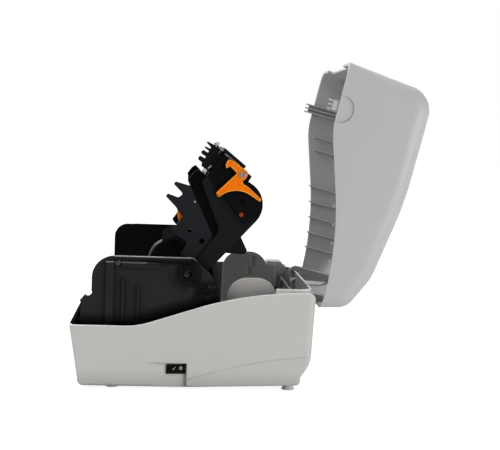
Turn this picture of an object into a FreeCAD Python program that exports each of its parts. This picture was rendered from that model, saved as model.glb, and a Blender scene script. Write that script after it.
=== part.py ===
"""Desktop thermal transfer label printer, lid and print module standing open.

Millimetres, +Z up, front towards -Y.  The origin lies on the desk, under the middle of the opened
printer.  The lid and the print module are drawn closed, where they meet the base, and turned open.
"""
import FreeCAD, Part
import math
import os

V = FreeCAD.Vector

# Overall size
WIDTH = 226.0
BASE_LENGTH = 285.0
FRONT_Y = -205.2
WALL = 3.0
RUN_GAP = 0.05
FREE_GAP = 0.4

# Parting line between base and lid, as distances behind the front and heights
RIM_FRONT_Z = 74.0
RIM_REAR_Z = 117.0
RIM_TURN = 78.0
RIM_TURN_RADIUS = 95.0
RIM_CREST = 208.0
RIM_CREST_RADIUS = 410.0
RIM_REAR_RADIUS = 10.0
LID_GAP = 1.0

# Base housing
FLOOR_Z = 3.3
FLOOR_END = 137.0
FRONT_TOE = 11.5
TOE_RADIUS = 6.0
REAR_TUCK = 3.6
REAR_TUCK_Z = 31.0
REAR_TUCK_RADIUS = 40.0
REAR_HEEL = 15.2
REAR_HEEL_Z = 17.0
REAR_HEEL_RADIUS = 10.0
REAR_FLOOR_Z = 7.5
FRONT_CORNER_RADIUS = 4.5
REAR_CORNER_RADIUS = 8.0
CREASE_STATION = 213.0
CREASE_Z = 38.2
CREASE_SLOPE = 0.33
CREASE_REAR_SLOPE = 0.06
CREASE_RADIUS = 500.0
CREASE_DEPTH = 0.5
LIP_START = 237.0
LIP_RISE = 4.0
LIP_THICKNESS = 2.2
HATCH_MARGIN = 33.0
HATCH_START = 44.0
HATCH_END = 134.0
VENT_COUNT = 7
VENT_PITCH = 16.0
VENT_WIDTH = 5.0
VENT_LENGTH = 34.0
FOOT_RADIUS = 7.4
FOOT_NECK = 5.4
FOOT_INSET = 18.0
FOOT_STATIONS = (50.0, 257.0)

# Power switch in the wedge recess of the right wall
RECESS_START = 88.0
RECESS_END = 136.5
RECESS_DEPTH = 5.0
RECESS_TOP_Z = 32.0
SWITCH_LENGTH = 22.4
SWITCH_HEIGHT = 11.0
SWITCH_MID_Z = 24.6
SWITCH_REACH = 11.5
SWITCH_RIM = 2.2
ROCKER_SWING = 7.0
ROCKER_DEPTH = 4.0
ROCKER_GAP = 0.7
ROCKER_PIN_RADIUS = 1.2

# Ports in the rear wall
PANEL_LEFT = -62.0
PANEL_RIGHT = 40.0
PANEL_BOTTOM_Z = 51.0
PANEL_TOP_Z = 74.0
PANEL_SKIN = 2.0
USB_X = 14.0
SERIAL_X = -14.0
JACK_X = -46.0
PORT_Z = 58.0
JACK_RADIUS = 6.0

# Lid
LID_TOP_Z = 183.0
LID_FRONT_LEAN = 8.6
LID_NOSE_RADIUS = 30.0
LID_EDGE_RADIUS = 20.0
LID_FRONT_EDGE_RADIUS = 2.0
LID_MOUTH_HALF_WIDTH = 60.0
LID_MOUTH_HEIGHT = 6.0
LID_OPEN = 103.0
HINGE_INSET = 5.4
HINGE_Z = 106.0
HINGE_MARGIN = 46.0
HINGE_ARM = 8.0
HINGE_PIN_RADIUS = 3.0
HINGE_LUG = 4.5
HINGE_LUG_RADIUS = 5.5
BARREL_OFFSET = 12.4
BARREL_RADIUS = 8.6
BARREL_BORE = 3.6
BARREL_DROP = 1.8
ARM_TIP = 259.0
LOUVRE_COUNT = 4
LOUVRE_PITCH = 6.0
LOUVRE_HALF_WIDTH = 50.0
GRIP_STATION = 54.7
GRIP_RISE = 2.8
GRIP_RADIUS = 16.0
GRIP_DEPTH = 1.6
LID_RIB_STATIONS = {1: (164.0, 186.0, 206.6, 227.5), -1: (152.2, 172.7, 193.0, 213.7, 233.5)}
LID_RIB = 1.6
LID_RIB_REACH = 4.0
LID_RIB_DROP = 3.0
SHORT_RIB_STATIONS = (87.2, 103.5)
SHORT_RIB_RISE = 8.0
LID_TAB_STATION = 52.0
LID_TAB_WIDTH = 11.5
LID_TAB_DROP = 11.5
LID_TAB_RISE = 31.0
LID_TAB_PLATE = 2.4
LID_TAB_REACH = 4.5
LID_TAB_PRONG = 4.5
BUTTON_X = -62.0
BUTTON_STATION = 62.0
BUTTON_RADIUS = 6.5
BUTTON_PROUD = 1.2
BUTTON_TRAVEL = 1.0
LENS_X = -40.0
LENS_RADIUS = 2.2

# Black chassis: two frame plates, deck, platen
SIDE_ROOM = 18.0
FRAME_PLATE = 3.0
BLIND_SKIN = 0.8
FRAME_BOTTOM_Z = 20.0
FRAME_TOP_Z = 153.0
FRAME_TALL_Z = 174.0
FRAME_FRONT = 23.6
FRAME_TALL_FRONT = 40.0
FRAME_REAR = 158.0
FRAME_STATIONS = (33.0, 146.0)
FRAME_FLANGE = 4.0
FRAME_FLANGE_FRONT = 26.0
FRAME_FLANGE_REAR = 20.0
FRAME_BAR = (57.8, 101.0, 139.9, 145.6)
FRAME_KNOB = (54.7, 144.8)
FRAME_RIBS = ((40.0, 146.0, 9.0), (58.8, 126.7, 2.6), (76.5, 119.3, 2.2))
FRAME_RIB_REACH = 3.0
BOSS_STATION = 134.0
BOSS_Z = 134.6
BOSS_RADIUS = 9.5
BOSS_HOLE = 5.5
BOSS_ARC_RADIUS = 18.6
BOSS_ARC = 1.4
TAIL_BOSS_STATION = 157.4
TAIL_BOSS_Z = 109.6
TAIL_BOSS_RADIUS = 8.5
LEDGE_Z = 56.0
LEDGE_THICKNESS = 2.5
DECK_GAP = 2.0
RAMP_FRONT = 37.0
RAMP_REAR = 60.0
RAMP_TOP_Z = 70.0
DECK_Z = 52.0
DECK_SKIN = 2.5
TRAY_Z = 33.0
PLATEN_STATION = 26.0
PLATEN_Z = 65.0
PLATEN_RADIUS = 8.0
PLATEN_GAP = 2.5
PLATEN_SHAFT_RADIUS = 3.0
BUSH_RADIUS = 5.0
TEAR_EDGE_Z = 72.5
TEAR_ROOT_Z = 62.0
BEZEL_MARGIN = 9.5
BEZEL_LOW_Z = 60.0
BEZEL_STEM_Z = 48.0
BEZEL_DEPTH = 12.5
BEZEL_LIP = 4.0
TEAR_TEETH = 28

# Paper drive, outside the left frame plate
GEAR_MODULE = 1.0
GEAR_WIDTH = 6.0
GEAR_BACKLASH = 0.35
PINION_TEETH = 12
IDLER_TEETH = 28
PLATEN_TEETH = 24
MOTOR_STATION = 56.0
MOTOR_Z = 38.0
MOTOR_RADIUS = 20.0
MOTOR_DEPTH = 20.0
MOTOR_SHAFT_RADIUS = 2.5
IDLER_POST_RADIUS = 3.0

# Label roll bay and its two holders
BIN_FRONT = 160.5
BIN_REAR = 262.0
BIN_STATIONS = (178.0, 244.0)
BIN_ROOM = 3.0
BIN_FLOOR_Z = 36.0
BIN_SKIN = 2.5
BIN_CORNER = 8.0
BIN_RIM_DROP = 4.0
SHELF_FRONT = 243.0
SHELF_TOP_Z = 131.0
SHELF_WIDTH = 27.0
SHELF_REAR = 270.0
SHELF_DEPTH = 20.0
SHELF_WALL_Z = 125.0
ROLL_STATION = 212.5
ROLL_Z = 97.0
HOLDER_MARGIN = 48.0
HOLDER_HALF_WIDTH = 29.5
HOLDER_TOP_Z = {1: 127.3, -1: 144.5}
HOLDER_SHOULDER = 23.0
WING_REAR = 254.0
WING_TOP_Z = 129.5
WING_LOW_Z = 98.0
HOLDER_PLATE = 4.0
HOLDER_DOME = 5.0
HOLDER_CORE_RADIUS = 11.0
HOLDER_CORE_LENGTH = 8.0
HOLDER_TRAVEL = 40.0
HOLDER_STEM = 7.0
RACK_THICKNESS = 4.0
RACK_BACK = 4.5
RACK_TOOTH_MODULE = 1.5
HOLDER_PINION_TEETH = 12
HOLDER_POST_RADIUS = 3.0

# Print module, drawn closed around its pivot
PIVOT_STATION = 150.0
PIVOT_Z = 133.5
PIVOT_RADIUS = 4.0
MODULE_OPEN = 122.0
MODULE_INSET = 15.0
MODULE_PLATE = 3.0
SIDE_OUTLINE = [(-133.0, -54.5), (-90.0, -59.0, 4.0), (-54.0, -9.5, 10.0), (-10.0, -12.0, 6.0),
                (10.0, -12.0, 9.0), (10.0, 3.1, 7.0), (-120.8, 26.1, 29.0), (-120.8, -13.5),
                (-128.0, -13.7), (-129.8, -26.5)]
COVER_OUTLINE = [(-120.8, -10.0), (-120.8, 26.1, 29.0), (-12.0, 7.0), (-12.4, 4.5),
                 (-118.3, 23.1, 26.5), (-118.3, -10.0)]
EAR_OUTLINE = [(-62.8, 14.0), (-52.3, 31.1, 2.5), (-46.9, 31.6, 2.5), (-34.6, 9.5)]
FRONT_OUTLINE = [(-138.1, -58.5), (-134.4, -26.0), (-129.8, -26.5), (-133.0, -54.5), (-133.4, -58.5)]
PRONGS = [(-78.5, -67.5), (-73.2, -84.5, 1.0), (-69.6, -84.6, 1.0), (-67.0, -73.0), (-66.0, -69.0, 2.5),
          (-59.4, -71.2, 2.0), (-56.4, -84.0, 1.0), (-52.4, -84.4, 1.0), (-48.4, -67.6, 1.0),
          (-43.0, -54.8, 1.5)]
PLAIN_TOP = [(-70.0, -54.0, 4.0), (-62.0, -62.0, 6.0), (-46.0, -62.0, 6.0)]
BRACKET_FOOT = [(-35.3, -55.4, 2.0), (-24.0, -55.8, 1.5), (-21.4, -49.6), (-21.4, -33.5, 3.0),
                (-4.0, -31.5, 2.0),
                (-4.0, -15.5, 2.0), (-19.7, -7.2), (-41.0, -7.8, 2.0), (-62.2, -40.6)]
WEB_OUTLINE = [(-100.5, -70.3, 1.5), (-95.5, -72.6, 1.0), (-85.5, -73.2, 1.0), (-83.9, -71.0),
               (-77.6, -67.0),
               (-57.5, -37.0), (-38.0, -10.5), (-12.0, -14.0), (-12.0, -5.0), (-45.0, 3.0), (-62.0, -14.0),
               (-93.0, -57.0), (-98.1, -57.3)]
WEB_PAD = [(-88.0, -55.0), (-54.5, -8.0), (-14.0, -10.0), (-14.0, -5.0), (-45.0, 3.0), (-62.0, -14.0),
           (-92.5, -56.5)]
WINDOW = [(-29.0, -22.4), (-34.9, -22.3), (-34.8, -16.5), (-28.6, -16.6)]
RIBBON_TRAY_OUTLINE = [(-5.4, -59.0, 1.0), (-20.0, -49.5, 2.0), (-18.5, -25.0), (-15.5, -25.0),
                       (-16.8, -48.0, 1.5), (-3.4, -56.5, 1.0)]
COMB_OUTLINE = [(-133.9, -61.0), (-134.2, -70.8), (-133.2, -79.3, 0.6), (-131.4, -79.3, 0.6),
                (-129.6, -72.0),
                (-127.8, -72.0), (-127.0, -78.2, 0.6), (-125.2, -78.2, 0.6), (-124.6, -71.5),
                (-122.4, -71.5),
                (-122.2, -78.8, 2.2), (-117.2, -78.4, 2.2), (-117.2, -71.0), (-114.8, -71.0),
                (-114.6, -78.0, 2.2),
                (-109.3, -77.3, 2.2), (-109.0, -71.0), (-105.0, -69.5, 1.5), (-104.0, -33.5),
                (-128.5, -33.5),
                (-128.5, -61.0)]
COMB_INSET = 13.0
COMB_WIDTH = 6.0
CARRIER_FRONT = 24.5
CARRIER_REAR = 62.0
CARRIER_BOTTOM_Z = 100.0
CARRIER_TOP_Z = 106.0
HEAD_GAP = 0.3
HEAD_FRONT = 18.0
HEAD_REAR = 58.0
HEAD_THICKNESS = 2.7
SINK_FRONT = 21.5
SINK_INSET = 1.0
SINK_BLOCK = 13.0
FIN_COUNT = 9
FIN_THICKNESS = 1.6
SUPPLY_POINT = (-52.4, -45.3)
SUPPLY_RADIUS = 18.8
TAKEUP_POINT = (-83.8, 1.5)
TAKEUP_RADIUS = 14.0
TAKEUP_JOURNAL = 3.0
TAKEUP_SINK = 0.8
HUB_JOURNAL = 4.0
HUB_CORE_RADIUS = 12.5
HUB_CORE_LENGTH = 17.0
HUB_DISC = 4.0
SIDE_HOLE_POINT = (-97.4, -6.0)
SIDE_HOLE_RADIUS = 2.8
SIDE_RIB = [(-85.2, -26.9), (-72.0, 11.5), (-75.0, 12.5), (-88.2, -25.9)]
SIDE_RIB_RISE = 0.9
SIDE_POCKET = [(-104.5, -49.5), (-126.0, -48.5), (-119.5, -31.0), (-89.5, -39.5)]
SIDE_POCKET_DEPTH = 1.2

# Latch levers and the studs they catch
LEVER_POINT = (-124.1, -23.7)
LEVER_ROOM = 1.0
LEVER_RIM = 1.3
LEVER_SINK = 0.7
LEVER_PLATE = 4.0
LEVER_SHAFT_RADIUS = 3.0
LEVER_OUTLINE = [(-5.6, -24.4, 2.6), (1.6, -23.6, 2.0), (4.7, -20.7, 0.8), (3.3, -19.3, 0.8),
                 (0.2, -18.7, 0.8), (2.7, -6.7, 1.5),
                 (35.0, -14.3, 1.5), (38.6, -10.5, 2.0), (36.1, -8.4, 1.0), (15.1, 0.7, 30.0),
                 (15.4, 34.6, 1.2), (11.9, 34.1, 1.0), (8.6, 13.5, 4.0), (8.8, 6.7, 2.0), (7.6, 3.6, 2.0),
                 (0.6, 5.4, 3.0), (-5.9, 4.2, 4.0), (-6.8, -18.5, 3.0)]
LEVER_TIP_HOLE = (36.3, -11.2)
LEVER_LATCH = 8.0
STUD_POINT = (-117.7, -38.5)
STUD_RADIUS = 2.5

# Cable from the deck to the print module
CABLE_X = 18.0
CABLE_RADIUS = 2.2
CABLE_PITCH = 6.0
CABLE_COUNT = 3
CABLE_ROUTE = [(88.0, 49.5), (87.0, 77.0), (86.6, 106.0), (87.2, 132.0), (90.0, 150.0), (98.5, 162.0),
               (113.0, 167.5)]

# Places worked out from the sizes above
HALF = WIDTH / 2.0
INNER = HALF - WALL
FRAME_X = INNER - SIDE_ROOM
MODULE_X = FRAME_X - MODULE_INSET
LEVER_X = MODULE_X + MODULE_PLATE + LEVER_ROOM
COMB_X = MODULE_X - COMB_INSET
DECK_HALF_WIDTH = COMB_X - DECK_GAP
PLATEN_HALF_LENGTH = DECK_HALF_WIDTH - DECK_SKIN - PLATEN_GAP
SINK_HALF_WIDTH = PLATEN_HALF_LENGTH - SINK_INSET
BIN_HALF_WIDTH = INNER - BIN_ROOM
HATCH_HALF_WIDTH = HALF - HATCH_MARGIN
FOOT_X = HALF - FOOT_INSET
HINGE_X = HALF - HINGE_MARGIN
HOLDER_X = HALF - HOLDER_MARGIN
BEZEL_HALF_WIDTH = HALF - BEZEL_MARGIN
REAR_Y = FRONT_Y + BASE_LENGTH
HINGE = V(0, REAR_Y - HINGE_INSET, HINGE_Z)
PIVOT = V(0, FRONT_Y + PIVOT_STATION, PIVOT_Z)
PLATEN = V(0, FRONT_Y + PLATEN_STATION, PLATEN_Z)
MOTOR = V(0, FRONT_Y + MOTOR_STATION, MOTOR_Z)
ROLL = V(0, FRONT_Y + ROLL_STATION, ROLL_Z)
LEVER = PIVOT + V(0, *LEVER_POINT)
STUD = PIVOT + V(0, *STUD_POINT)
SUPPLY = PIVOT + V(0, *SUPPLY_POINT)
TAKEUP = PIVOT + V(0, *TAKEUP_POINT)
X_AXIS = V(1, 0, 0)
SIDES = (1, -1)


def back(distance):
    """Y of a station that lies this far behind the base's front."""
    return FRONT_Y + distance


def outline_face(points, origin=V()):
    """Side-view face through (y, z) points; a third number rounds that corner."""
    places = [V(0, point[0], point[1]) + origin for point in points]
    corners = []
    for index, point in enumerate(points):
        here = places[index]
        if len(point) < 3:
            corners.append((here, None, here))
            continue
        radius = point[2]
        behind = (places[index - 1] - here).normalize()
        ahead = (places[(index + 1) % len(points)] - here).normalize()
        half_angle = behind.getAngle(ahead) / 2.0
        reach = radius / math.tan(half_angle)
        centre = here + (behind + ahead).normalize() * (radius / math.sin(half_angle))
        middle = centre + (here - centre).normalize() * radius
        corners.append((here + behind * reach, middle, here + ahead * reach))
    edges = []
    for index, (start, middle, end) in enumerate(corners):
        if middle is not None:
            edges.append(Part.Arc(start, middle, end).toShape())
        following = corners[(index + 1) % len(corners)][0]
        if end.distanceToPoint(following) > 1e-6:
            edges.append(Part.LineSegment(end, following).toShape())
    return Part.Face(Part.Wire(edges))


def slab(points, x_from, x_to, origin=V()):
    """Plate with the given side outline between two X planes."""
    face = outline_face(points, origin)
    face.translate(V(x_from, 0, 0))
    return face.extrude(V(x_to - x_from, 0, 0))


def block(x_from, x_to, y_from, y_to, z_from, z_to):
    """Box between three pairs of planes."""
    return Part.makeBox(x_to - x_from, y_to - y_from, z_to - z_from, V(x_from, y_from, z_from))


def rod(centre, radius, x_from, x_to):
    """Cylinder along X through a side-view point."""
    start = V(x_from, centre.y, centre.z)
    return Part.makeCylinder(radius, x_to - x_from, start, X_AXIS)


def post(x, y, radius, z_from, z_to):
    """Upright cylinder."""
    return Part.makeCylinder(radius, z_to - z_from, V(x, y, z_from))


def joined(shapes):
    """One clean solid from touching shapes."""
    return shapes[0].multiFuse(shapes[1:]).removeSplitter()


def mirrored(shape):
    """The same shape on the printer's other side."""
    return shape.mirror(V(), X_AXIS)


def handed(shape, side):
    """A right-hand shape as drawn, or its mirror image for the left."""
    return shape if side > 0 else mirrored(shape)


def opened_lid(shape):
    """Turn a closed lid piece about the hinge to the open stop."""
    shape.rotate(HINGE, X_AXIS, -LID_OPEN)
    return shape


def opened_module(shape):
    """Turn a closed print module piece about its pivot to the open stop."""
    shape.rotate(PIVOT, X_AXIS, -MODULE_OPEN)
    return shape


def rim_points(lift=0.0):
    """The swept parting line from front to rear, raised by the given gap."""
    return [(back(-20.0), RIM_FRONT_Z + lift), (back(RIM_TURN), RIM_FRONT_Z + lift, RIM_TURN_RADIUS),
            (back(RIM_CREST), RIM_REAR_Z + lift, RIM_CREST_RADIUS)]


def front_wall_y(height):
    """Outer face of the leaning front wall at a height."""
    return back(FRONT_TOE * (RIM_FRONT_Z - height) / (RIM_FRONT_Z - FLOOR_Z))


def rear_wall_y(height):
    """Outer face of the leaning rear wall at a height."""
    return REAR_Y - REAR_TUCK * (RIM_REAR_Z - height) / (RIM_REAR_Z - REAR_TUCK_Z)


def base_envelope():
    """Side view of the base, taller than its rim so that the rim can be cut."""
    top = LID_TOP_Z
    return [(front_wall_y(top), top), (front_wall_y(FLOOR_Z), FLOOR_Z, TOE_RADIUS),
            (back(FLOOR_END), FLOOR_Z),
            (REAR_Y - REAR_HEEL, REAR_FLOOR_Z), (REAR_Y - REAR_HEEL, REAR_HEEL_Z, REAR_HEEL_RADIUS),
            (rear_wall_y(REAR_TUCK_Z), REAR_TUCK_Z, REAR_TUCK_RADIUS), (rear_wall_y(top), top)]


def upright_edges(body, y_from, y_to):
    """The long edges where a side wall meets the front or rear wall."""
    found = []
    for edge in body.Edges:
        box = edge.BoundBox
        if box.XLength < 1e-6 and box.ZLength > 60.0 and box.YMin > y_from and box.YMax < y_to:
            found.append(edge)
    return found


def base_solid():
    """Filled outer form of the base with rounded corners, swept rim and side creases."""
    body = slab(base_envelope(), -HALF, HALF)
    body = body.makeFillet(REAR_CORNER_RADIUS, upright_edges(body, back(FLOOR_END), BASE_LENGTH))
    body = body.makeFillet(FRONT_CORNER_RADIUS, upright_edges(body, -WIDTH - BASE_LENGTH, back(FLOOR_END)))
    under = rim_points() + [(REAR_Y + BASE_LENGTH, RIM_REAR_Z), (REAR_Y + BASE_LENGTH, 0.0),
                            (back(-20.0), 0.0)]
    body = body.common(slab(under, -WIDTH, WIDTH))
    turn = V(0, REAR_Y - RIM_REAR_RADIUS, RIM_REAR_Z - RIM_REAR_RADIUS)
    corner = block(-HALF, HALF, turn.y, REAR_Y + 5.0, turn.z, RIM_REAR_Z + 5.0)
    body = body.cut(corner.cut(rod(turn, RIM_REAR_RADIUS, -WIDTH, WIDTH)))
    return body.cut([handed(side_crease(), side) for side in SIDES])


def side_crease():
    """Shallow step along the right wall below a rising line."""
    front = CREASE_STATION - CREASE_Z / CREASE_SLOPE
    rear = BASE_LENGTH + 5.0
    line = [(back(front), 0.0), (back(CREASE_STATION), CREASE_Z, CREASE_RADIUS),
            (back(rear), CREASE_Z + CREASE_REAR_SLOPE * (rear - CREASE_STATION)), (back(rear), 0.0)]
    return slab(line, HALF - CREASE_DEPTH, HALF + 1.0)


def locating_lip():
    """Rib inside the rear walls that stands over the rim and centres the closed lid."""
    top = RIM_REAR_Z + LIP_RISE
    core = lid_block(WALL + FREE_GAP + LIP_THICKNESS)
    band = block(-HALF, HALF, back(LIP_START), REAR_Y, RIM_REAR_Z - 1.0, top)
    root = block(-HALF, HALF, back(LIP_START), REAR_Y, RIM_REAR_Z - 20.0, RIM_REAR_Z - 1.0)
    return [lid_block(WALL + FREE_GAP).common(band).cut(core), lid_block(WALL - 1.0).common(root).cut(core)]


def base_housing():
    """Moulded base: leaning walls, swept rim, floor hatch, switch recess, hinge lugs, bosses."""
    outer = base_solid()
    cavity = outline_face(base_envelope()).makeOffset2D(-WALL)
    cavity.translate(V(WALL - HALF, 0, 0))
    shell = outer.cut(cavity.extrude(V(WIDTH - 2.0 * WALL, 0, 0)))
    pad = block(HALF - WALL - RECESS_DEPTH, HALF - 1.0, back(RECESS_START - 4.0), back(RECESS_END + WALL),
                FLOOR_Z + 1.0, RECESS_TOP_Z + WALL)
    bosses = [post(side * (FRAME_X + FRAME_PLATE / 2.0), back(station), 5.0, FLOOR_Z + 1.0, FRAME_BOTTOM_Z)
              for side in SIDES for station in FRAME_STATIONS]
    bosses += [post(side * (BIN_HALF_WIDTH - 11.0), back(station), 4.5, FLOOR_Z + 1.0,
                    BIN_FLOOR_Z - BIN_SKIN)
               for side in SIDES for station in BIN_STATIONS]
    pin = HINGE_PIN_RADIUS
    for side in SIDES:
        for inner in (HINGE_X - HINGE_ARM / 2.0 - FREE_GAP - HINGE_LUG,
                      HINGE_X + HINGE_ARM / 2.0 + FREE_GAP):
            bosses.append(handed(hinge_lug(inner), side))
    shell = joined([shell, pad.common(outer)] + [boss.common(outer) for boss in bosses] + locating_lip())
    cuts = [switch_recess(), switch_opening(), panel_opening()]
    cuts += [rod(HINGE, pin, side * HINGE_X - 12.0, side * HINGE_X + 12.0) for side in SIDES]
    cuts += [hinge_notch(side) for side in SIDES]
    cuts.append(block(-HATCH_HALF_WIDTH, HATCH_HALF_WIDTH, back(HATCH_START), back(HATCH_END), 0,
                      FLOOR_Z + WALL))
    cuts.append(block(-BEZEL_HALF_WIDTH, BEZEL_HALF_WIDTH, back(-5.0), back(BEZEL_DEPTH), BEZEL_LOW_Z,
                      LID_TOP_Z))
    return shell.cut(cuts)


def hinge_lug(inner):
    """Ear inside the rear wall that carries one end of a hinge pin."""
    root = rear_wall_y(HINGE_Z) - WALL / 2.0
    ear = block(inner, inner + HINGE_LUG, HINGE.y - HINGE_LUG_RADIUS, root, HINGE_Z - 14.0, HINGE_Z)
    return ear.fuse(rod(HINGE, HINGE_LUG_RADIUS, inner, inner + HINGE_LUG).cut(
        block(0, HALF, rear_wall_y(HINGE_Z) - 1.0, REAR_Y + 20.0, 0, LID_TOP_Z)))


def hinge_notch(side):
    """Slot in the rear wall that the lid's hinge arm swings through."""
    half = HINGE_ARM / 2.0 + FREE_GAP
    return block(side * HINGE_X - half, side * HINGE_X + half,
                 HINGE.y - BARREL_OFFSET - BARREL_RADIUS - 1.0,
                 REAR_Y + 5.0, HINGE_Z - BARREL_RADIUS - 3.0, LID_TOP_Z)


def bottom_plate():
    """Hatch in the floor with its ventilation slots and the posts of the circuit board."""
    half = HATCH_HALF_WIDTH - FREE_GAP / 2.0
    plate = block(-half, half, back(HATCH_START) + FREE_GAP / 2.0, back(HATCH_END) - FREE_GAP / 2.0,
                  FLOOR_Z, FLOOR_Z + WALL)
    slots = []
    for index in range(VENT_COUNT):
        x = (index - (VENT_COUNT - 1) / 2.0) * VENT_PITCH
        slots.append(block(x - VENT_WIDTH / 2.0, x + VENT_WIDTH / 2.0, back(HATCH_START + 12.0),
                           back(HATCH_START + 12.0) + VENT_LENGTH, 0, FLOOR_Z + 2.0 * WALL))
    posts = [post(side * (HATCH_HALF_WIDTH - 18.0), back(station), 3.5, FLOOR_Z + WALL - 0.5,
                  FLOOR_Z + WALL + 6.0)
             for side in SIDES for station in (HATCH_START + 6.0, HATCH_END - 6.0)]
    return joined([plate.cut(slots)] + posts)


def main_board():
    """Circuit board on the hatch posts, with its main parts."""
    low = FLOOR_Z + WALL + 6.0
    half = HATCH_HALF_WIDTH - 12.0
    board = block(-half, half, back(HATCH_START + 1.0), back(HATCH_END - 1.0), low, low + 1.6)
    parts = [board]
    for x, y, length, depth, height in ((-40.0, 24.0, 24.0, 24.0, 2.5), (20.0, 22.0, 18.0, 12.0, 2.0),
                                        (48.0, 44.0, 12.0, 30.0, 8.0), (-20.0, 70.0, 30.0, 8.0, 8.0)):
        start = back(HATCH_START + y)
        parts.append(block(x, x + length, start, start + depth, low + 1.0, low + 1.6 + height))
    return joined(parts)


def feet():
    """Four flared rubber feet whose tops follow the rising floor."""
    floor = slab(base_envelope(), -HALF, HALF)
    pads = []
    for side in SIDES:
        for station in FOOT_STATIONS:
            place = V(side * FOOT_X, back(station), 0)
            sole = Part.makeCylinder(FOOT_RADIUS, 1.2, place)
            stem = Part.makeCone(FOOT_RADIUS, FOOT_NECK, FLOOR_Z, place + V(0, 0, 1.2))
            neck = Part.makeCylinder(FOOT_NECK, FLOOR_Z + 2.0 * WALL, place)
            pads.append(joined([sole, stem, neck]).cut(floor))
    return Part.makeCompound(pads)


def recess_place(shape):
    """Move a switch piece, drawn about the recess floor's middle, into the tilted recess."""
    tilt = math.degrees(math.atan2(RECESS_DEPTH, RECESS_END - RECESS_START))
    middle = RECESS_END - 1.5 - SWITCH_LENGTH / 2.0
    depth = RECESS_DEPTH * (middle - RECESS_START) / (RECESS_END - RECESS_START)
    shape.rotate(V(), V(0, 0, 1), tilt)
    shape.translate(V(HALF - depth, back(middle), SWITCH_MID_Z))
    return shape


def switch_recess():
    """Wedge that sinks into the side wall towards the rear and runs out at the bottom."""
    corners = [V(HALF, back(RECESS_START), 0), V(HALF - RECESS_DEPTH, back(RECESS_END), 0),
               V(HALF + 5.0, back(RECESS_END), 0), V(HALF + 5.0, back(RECESS_START), 0)]
    return Part.Face(Part.makePolygon(corners + corners[:1])).extrude(V(0, 0, RECESS_TOP_Z))


def switch_opening():
    """Panel cut-out behind the switch bezel."""
    length = SWITCH_LENGTH - SWITCH_RIM
    height = SWITCH_HEIGHT - SWITCH_RIM
    return recess_place(block(-SWITCH_REACH, 4.0, -length / 2.0, length / 2.0, -height / 2.0, height / 2.0))


def switch_body():
    """Snap-in switch housing: bezel, sleeve and the well of the rocker."""
    length = SWITCH_LENGTH - SWITCH_RIM
    height = SWITCH_HEIGHT - SWITCH_RIM
    bezel = block(0, 1.2, -SWITCH_LENGTH / 2.0, SWITCH_LENGTH / 2.0, -SWITCH_HEIGHT / 2.0,
                  SWITCH_HEIGHT / 2.0)
    sleeve = block(-SWITCH_REACH, 1.0, -length / 2.0, length / 2.0, -height / 2.0, height / 2.0)
    well = block(-7.0, 2.0, -length / 2.0 + 1.2, length / 2.0 - 1.2, -height / 2.0 + 0.8,
                 height / 2.0 - 0.8)
    bore = rocker_pin(height - 0.4, RUN_GAP)
    return recess_place(bezel.fuse(sleeve).cut([well, bore]).removeSplitter())


def rocker_pin(height, extra=0.0):
    """Upright pivot pin of the rocker, drawn about the recess floor's middle."""
    return Part.makeCylinder(ROCKER_PIN_RADIUS + extra, height, V(-ROCKER_DEPTH, 0, -height / 2.0))


def switch_rocker():
    """Rocker cap with two slanted faces that meet over its pivot."""
    length = SWITCH_LENGTH - SWITCH_RIM - 2.4 - 2.0 * ROCKER_GAP
    height = SWITCH_HEIGHT - SWITCH_RIM - 1.6 - FREE_GAP
    points = [V(-ROCKER_DEPTH, -3.0, 0), V(-ROCKER_DEPTH, 3.0, 0), V(1.6, length / 2.0, 0), V(0.9, 0, 0),
              V(1.6, -length / 2.0, 0)]
    cap = Part.Face(Part.makePolygon(points + points[:1])).extrude(V(0, 0, height))
    cap.translate(V(0, 0, -height / 2.0))
    cap = cap.fuse(rocker_pin(SWITCH_HEIGHT - SWITCH_RIM - 0.6)).removeSplitter()
    cap.rotate(V(-ROCKER_DEPTH, 0, 0), V(0, 0, 1), -ROCKER_SWING / 2.0)
    return recess_place(cap)


def panel_outline(outer, inner, margin=0.0):
    """Side view of a strip that lies along the leaning rear wall."""
    low = PANEL_BOTTOM_Z - margin
    high = PANEL_TOP_Z + margin
    return [(rear_wall_y(low) - outer, low), (rear_wall_y(high) - outer, high),
            (rear_wall_y(high) - inner, high), (rear_wall_y(low) - inner, low)]


def panel_opening():
    """Window in the rear wall for the port panel."""
    return slab(panel_outline(-3.0, WALL + 3.0), PANEL_LEFT, PANEL_RIGHT)


def port_panel():
    """Plate behind the rear window with the cut-outs of the three sockets."""
    through = WALL * math.hypot(1.0, REAR_TUCK / (RIM_REAR_Z - REAR_TUCK_Z))
    sheet = slab(panel_outline(through, through + PANEL_SKIN, 3.0), PANEL_LEFT - 3.0, PANEL_RIGHT + 3.0)
    return sheet.cut([usb_block(0.0), serial_block(0.0), jack_block(0.0)])


def usb_block(inset):
    """Square printer socket body."""
    rear = rear_wall_y(PORT_Z) - 1.0
    return block(USB_X - 6.0 + inset, USB_X + 6.0 - inset, rear - 17.0, rear, PORT_Z - 5.5 + inset,
                 PORT_Z + 5.5 - inset)


def usb_socket():
    """Metal socket with its tongue inside."""
    rear = rear_wall_y(PORT_Z) - 1.0
    hollow = block(USB_X - 4.6, USB_X + 4.6, rear - 9.0, rear + 1.0, PORT_Z - 4.2, PORT_Z + 4.2)
    tongue = block(USB_X - 2.8, USB_X + 2.8, rear - 9.5, rear - 2.0, PORT_Z - 1.6, PORT_Z + 1.6)
    return usb_block(0.0).cut(hollow).fuse(tongue).removeSplitter()


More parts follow.
